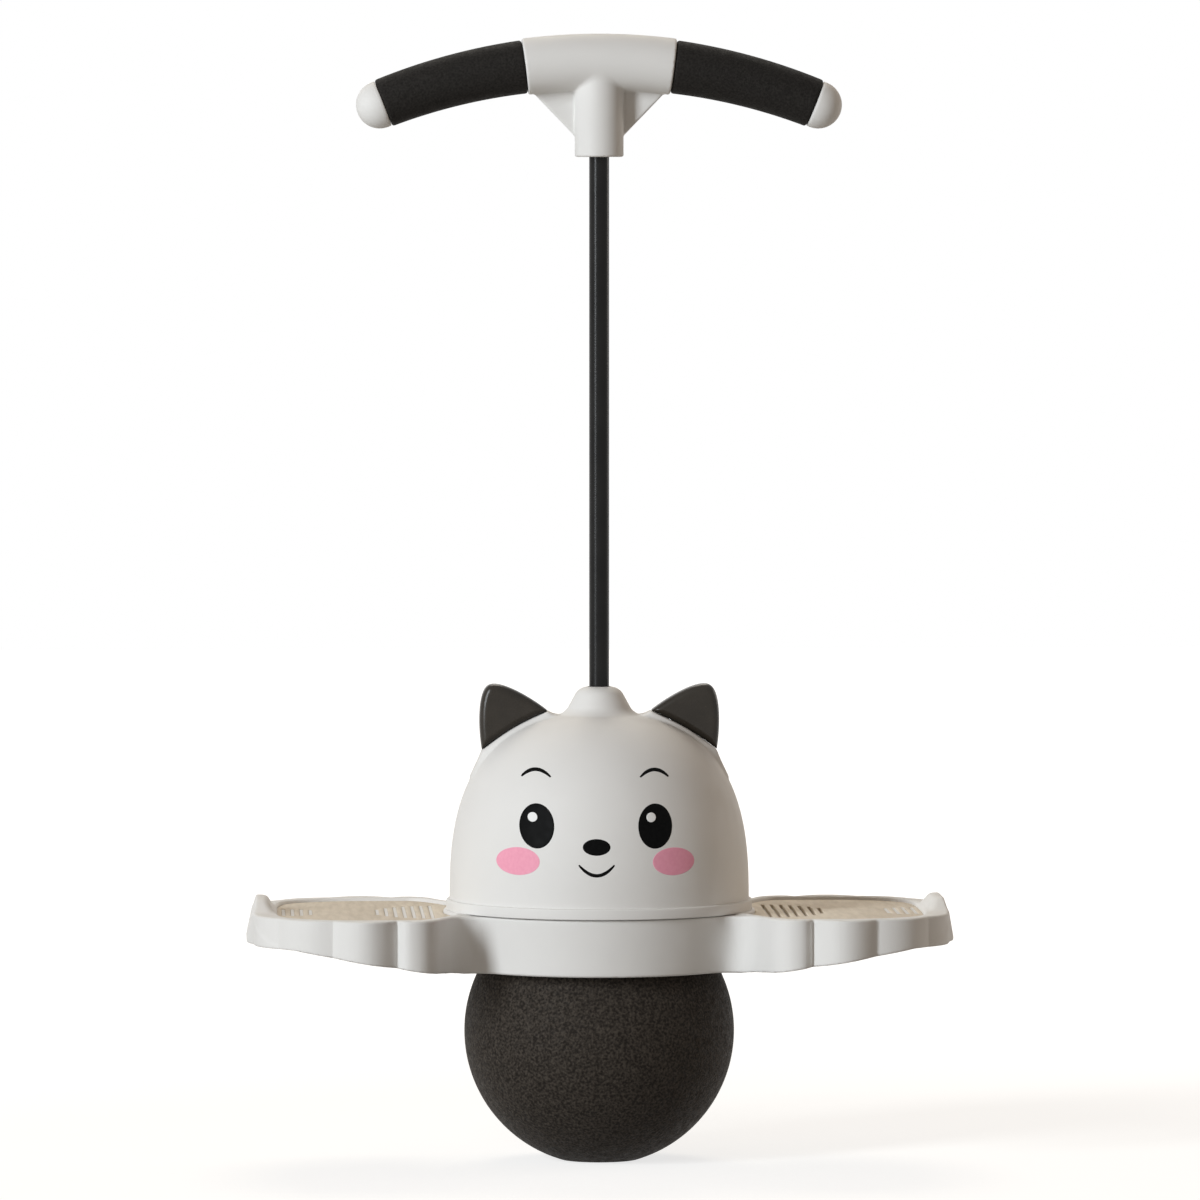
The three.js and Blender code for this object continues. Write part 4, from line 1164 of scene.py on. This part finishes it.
def gusset_outline():
    under_bar = bar_centre_z + sqrt(BAR_SWEEP**2 - GUSSET_REACH**2) - bar_radius + BAR_WALL / 2
    foot = (SOCKET_RADIUS - BAR_WALL, handle_bottom + GUSSET_FOOT)
    right = np.array([foot, (GUSSET_REACH, under_bar), (GUSSET_REACH, bar_z - bar_radius / 2)])
    return np.vstack([(right * [-1, 1])[::-1], right])


def handle_field(x, y, z):
    gusset = plan_distance(x, z, gusset_outline())[:, None, :]
    x, y, z = np.ix_(x, y, z)
    along = np.arctan2(x, z - bar_centre_z) * BAR_SWEEP
    section = np.hypot(np.hypot(x, z - bar_centre_z) - BAR_SWEEP, y)
    axis = np.hypot(x, y)

    bar = round_max(section - bar_radius, along - BAR_LENGTH / 2, BAR_EDGE)
    socket = meet(round_max(axis - SOCKET_RADIUS, handle_bottom - z, BAR_EDGE), z - bar_z)
    web = round_max(gusset, np.abs(y - GUSSET_BACK) - GUSSET_PANEL / 2, BAR_EDGE)
    arm = meet(section - ARM_RADIUS, along - grip_angle * BAR_SWEEP + FIT_GAP)
    outside = join(round_min(round_min(bar, socket, SOCKET_FILLET), web, BAR_EDGE), arm)

    hollow = meet(section - bar_radius + BAR_WALL, along - BAR_LENGTH / 2 + BAR_WALL)
    hollow = join(hollow, section - ARM_RADIUS + ARM_WALL)
    kept = meet(axis - POLE_RADIUS - FIT_GAP - BAR_WALL, z - pole_top - BAR_WALL)
    bores = meet(axis - POLE_RADIUS - FIT_GAP, z - pole_top - FIT_GAP)
    for place, height, seat in (
        (HANDLE_SCREW_SPAN, handle_screw_z, HANDLE_SCREW_SEAT),
        (0, cross_screw_z, CROSS_SCREW_SEAT),
    ):
        away = np.hypot(x - place, z - height)
        kept = join(kept, away - SCREW_HEAD_RADIUS - ARM_WALL)
        shank = meet(away - SCREW_RADIUS - FIT_GAP, -HANDLE_SCREW_GRIP - FIT_GAP - y)
        bores = join(bores, shank, meet(away - SCREW_HEAD_RADIUS - FIT_GAP, seat - y))
    return meet(outside, -meet(hollow, -kept), -bores)


def build_handle():
    margin = 2 * HANDLE_CELL
    x = grid_axis(0, (BAR_SWEEP + ARM_RADIUS) * sin(grip_angle) + margin, HANDLE_CELL)
    y = grid_axis(0, bar_radius + margin, HANDLE_CELL) - margin
    z = grid_axis(handle_bottom - margin, bar_z + bar_radius + margin, HANDLE_CELL)
    for name, side in (("handle_front_shell", -1), ("handle_rear_shell", 1)):
        whole = handle_field(x, side * y, z)
        half = round_max(whole, FIT_GAP / 2 - y[None, :, None], PARTING_EDGE)
        points, faces = surface_nets(mirrored(half, 0), np.array([-x[-1], y[0], z[0]]), HANDLE_CELL)
        if side < 0:
            points = points * [1, -1, 1]
            faces = [face[::-1] for face in faces]
        build_piece(name, "skin", points, faces, triangles=HANDLE_TRIANGLES)


# Grips and end caps
GRIP_EDGE = 1.6
GRIP_EDGE_STEPS = 5
GRIP_ROWS = 50
CAP_EDGE = 0.8
CAP_STEPS = 32


def bar_frame(angle):
    """A point on the bar's curve, and the direction out of the curve."""
    outward = np.array([sin(angle), 0, cos(angle)])
    return np.array([0, 0, bar_centre_z]) + BAR_SWEEP * outward, outward


def bar_ring(angle, radius):
    middle, outward = bar_frame(angle)
    ring = radius * ring_of(ROUND_SIDES)
    return middle + ring[:, :1] * outward + ring[:, 1:] * np.array([0, -1, 0])


def build_grips():
    start, end = BAR_LENGTH / 2 + FIT_GAP, BAR_LENGTH / 2 + GRIP_LENGTH - FIT_GAP
    bore = ARM_RADIUS + FIT_GAP
    first = (start + GRIP_EDGE, GRIP_INNER_RADIUS - GRIP_EDGE)
    last = (end - GRIP_EDGE, GRIP_OUTER_RADIUS - GRIP_EDGE)
    inner = arc(first, GRIP_EDGE, pi, pi / 2, GRIP_EDGE_STEPS)
    outer = arc(last, GRIP_EDGE, pi / 2, 0, GRIP_EDGE_STEPS)
    middle = np.linspace(inner[-1], outer[0], GRIP_ROWS)[1:-1]
    profile = np.vstack([[[end, bore], [start, bore]], inner, middle, outer])
    rows = [bar_ring(along / BAR_SWEEP, radius) for along, radius in profile]
    for grip in build_pair("grip", "foam", *loft(rows, loop=True), SHARP):
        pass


def build_caps():
    shank, edge = ARM_RADIUS - ARM_WALL - CAP_SHANK_GAP, CAP_EDGE
    profile = np.vstack(
        [
            [[shank - edge, -CAP_SHANK_LENGTH], [shank, -CAP_SHANK_LENGTH + edge], [shank, 0]],
            [[CAP_RADIUS - edge / 2, 0], [CAP_RADIUS, edge / 2]],
            arc((0, CAP_RIM), CAP_RADIUS, 0, pi / 2, CAP_STEPS)[:-1],
        ]
    )
    points, faces = turned(profile, ROUND_SIDES)
    middle, outward = bar_frame(grip_angle)
    onward = np.array([cos(grip_angle), 0, -sin(grip_angle)])
    points = middle + points @ np.array([outward, np.cross(onward, outward), onward])
    build_pair("end_cap", "skin", points, faces, SHARP)


# Screws
SCREW_CELL = 0.3
CROSS_WIDTH = 0.9
CROSS_DEPTH = 1.3
CROSS_REACH = 1.9
HEAD_ROUND = 0.45 * SCREW_HEAD_HEIGHT
SHANK_ROOT = SCREW_HEAD_HEIGHT / 3  # how far in the head the shank starts
SCREW_SHARP = 40


def screw_mesh(length):
    """A pan-head screw with a cross recess, its head below the seat at Z = 0."""
    side = grid_axis(0, SCREW_HEAD_RADIUS + SCREW_CELL, SCREW_CELL)
    heights = grid_axis(-SCREW_HEAD_HEIGHT - 2 * SCREW_CELL, length + 2 * SCREW_CELL, SCREW_CELL)
    x, y, z = np.ix_(side, side, heights)
    radius = np.hypot(x, y)
    head = meet(round_max(radius - SCREW_HEAD_RADIUS, -SCREW_HEAD_HEIGHT - z, HEAD_ROUND), z)
    shank = meet(radius - SCREW_RADIUS, z - length, -z - SHANK_ROOT)
    slit = meet(np.minimum(x, y) - CROSS_WIDTH / 2, np.maximum(x, y) - CROSS_REACH)
    field = join(meet(head, -meet(slit, z + SCREW_HEAD_HEIGHT - CROSS_DEPTH)), shank)
    field = mirrored(mirrored(field, 0), 1)
    return surface_nets(field, np.array([-side[-1], -side[-1], heights[0]]), SCREW_CELL)


def build_screws():
    """Each screw is placed by its node's box: the head's seat, and the way it points."""
    across = np.array([1, 0, 0])
    for group, way in (("dome_screw", np.array([0, 0, 1])), ("handle_", np.array([0, -1, 0]))):
        for node in sorted(name for name in body_of if "screw" in name and name.startswith(group)):
            low, high = node_box(node)
            total = abs(way @ (high - low))
            seat = (low + high) / 2 + (SCREW_HEAD_HEIGHT - total / 2) * way
            points, faces = screw_mesh(total - SCREW_HEAD_HEIGHT)
            points = seat + points @ np.array([across, np.cross(way, across), way])
            build_piece(node, "skin", points, faces, SCREW_SHARP)


def dress_kept_nodes():
    """The solids that stay, inside the dome, get their finish."""
    for name, node in frame["nodes"].items():
        if not node.hide_render:
            node.data.materials.clear()
            node.data.materials.append(look_of(name))


# Studio
CAMERA_DISTANCE = 5.88
CAMERA_AZIMUTH = -2.3
CAMERA_HEIGHT = 0.6066
CAMERA_AIM = (0.0005, 0, 0.3360)
CAMERA_LENS = 294.6
CAMERA_SENSOR = 36
CAMERA_FAR = 100
FLOOR_SIZE = 12.0
FLOOR_SINK = 0.0002
FLOOR_SHADE = (0.44, 0.43, 0.415)
FLOOR_FADE = (0.4, 2.0)  # metres from the object, over which the glow grows
FLOOR_GLOW = (0.74, 1.0)
AMBIENT_SHADE = (1.0, 0.79, 0.61)
AMBIENT_STRENGTH = 0.2
WHITE = (1, 1, 1, 1)
LAMP_DISTANCE = 6.0
LAMP_AIM = 0.3
# Azimuth from the front and elevation, width and height, watts, shade
LAMPS = {
    "key": (-47, 16, (1.2, 3.4), 315, (0.89, 0.945, 0.99)),
    "back": (180, 50, (2.4, 2.4), 100, (1.0, 0.93, 0.8)),
    "side": (115, 12, (1.6, 2.4), 48, (1.0, 0.92, 0.83)),
}


def build_camera():
    turn = radians(CAMERA_AZIMUTH)
    data = bpy.data.cameras.new("camera")
    data.lens = CAMERA_LENS
    data.sensor_width = CAMERA_SENSOR
    data.clip_end = CAMERA_FAR
    camera = bpy.data.objects.new("camera", data)
    camera.location = (CAMERA_DISTANCE * sin(turn), -CAMERA_DISTANCE * cos(turn), CAMERA_HEIGHT)
    aim = Vector(CAMERA_AIM) - camera.location
    camera.rotation_euler = aim.to_track_quat("-Z", "Y").to_euler()
    bpy.context.scene.collection.objects.link(camera)
    bpy.context.scene.camera = camera


def add_lamp(name, azimuth, elevation, size, watts, shade):
    turn, tilt = radians(azimuth), radians(elevation)
    way = Vector((sin(turn) * cos(tilt), -cos(turn) * cos(tilt), sin(tilt)))
    data = bpy.data.lights.new(name, "AREA")
    data.shape = "RECTANGLE"
    data.size, data.size_y = size
    data.energy = watts
    data.color = shade
    lamp = bpy.data.objects.new(name, data)
    lamp.location = Vector((0, 0, LAMP_AIM)) + LAMP_DISTANCE * way
    lamp.rotation_euler = way.to_track_quat("Z", "Y").to_euler()
    bpy.context.scene.collection.objects.link(lamp)


def combine(tree, operation, first, second):
    return add_node(tree, "ShaderNodeMath", {0: first, 1: second}, operation=operation).outputs["Value"]


def seen_directly(tree):
    """1 for camera, glossy and transmission rays, which see the white background."""
    path = tree.nodes.new("ShaderNodeLightPath").outputs
    shiny = combine(tree, "MAXIMUM", path["Is Glossy Ray"], path["Is Transmission Ray"])
    return combine(tree, "MAXIMUM", path["Is Camera Ray"], shiny)


def build_world():
    world = bpy.data.worlds.new("studio")
    bpy.context.scene.world = world
    world.use_nodes = True
    tree = world.node_tree
    ambient = tree.nodes["Background"]
    ambient.inputs["Color"].default_value = (*AMBIENT_SHADE, 1)
    ambient.inputs["Strength"].default_value = AMBIENT_STRENGTH
    white = add_node(tree, "ShaderNodeBackground", {"Color": WHITE})
    rays = {"Fac": seen_directly(tree), 1: ambient.outputs["Background"], 2: white.outputs["Background"]}
    mix = add_node(tree, "ShaderNodeMixShader", rays)
    tree.links.new(mix.outputs["Shader"], tree.nodes["World Output"].inputs["Surface"])


def floor_look():
    """Matte with the object's soft shadow, and a glow that grows to the background's white far out."""
    material = bpy.data.materials.new("floor")
    material.use_nodes = True
    tree = material.node_tree
    tree.nodes.remove(tree.nodes["Principled BSDF"])
    matte = add_node(tree, "ShaderNodeBsdfDiffuse", {"Color": (*FLOOR_SHADE, 1)})
    place = tree.nodes.new("ShaderNodeNewGeometry").outputs["Position"]
    away = add_node(tree, "ShaderNodeVectorMath", {0: place}, operation="LENGTH").outputs["Value"]
    glow = combine(tree, "MULTIPLY", spread(tree, away, FLOOR_FADE, FLOOR_GLOW), seen_directly(tree))
    white = add_node(tree, "ShaderNodeEmission", {"Strength": glow})
    both = add_node(tree, "ShaderNodeAddShader", {0: matte.outputs["BSDF"], 1: white.outputs["Emission"]})
    tree.links.new(both.outputs["Shader"], tree.nodes["Material Output"].inputs["Surface"])
    return material


def build_floor():
    half = FLOOR_SIZE / 2 / MM
    corners = [(-half, -half, 0), (half, -half, 0), (half, half, 0), (-half, half, 0)]
    floor = new_object("floor", corners, [(0, 1, 2, 3)], floor_look())
    floor.location.z = -FLOOR_SINK


build_camera()
build_world()
build_floor()
for lamp_name, lamp in LAMPS.items():
    add_lamp(lamp_name, *lamp)
build_ball()
build_deck()
build_pads()
build_painted_light_strips()
build_dome()
build_ears()
build_face()
build_pole()
build_handle()
build_grips()
build_caps()
build_screws()
dress_kept_nodes()
bpy.context.scene.view_settings.view_transform = "Standard"
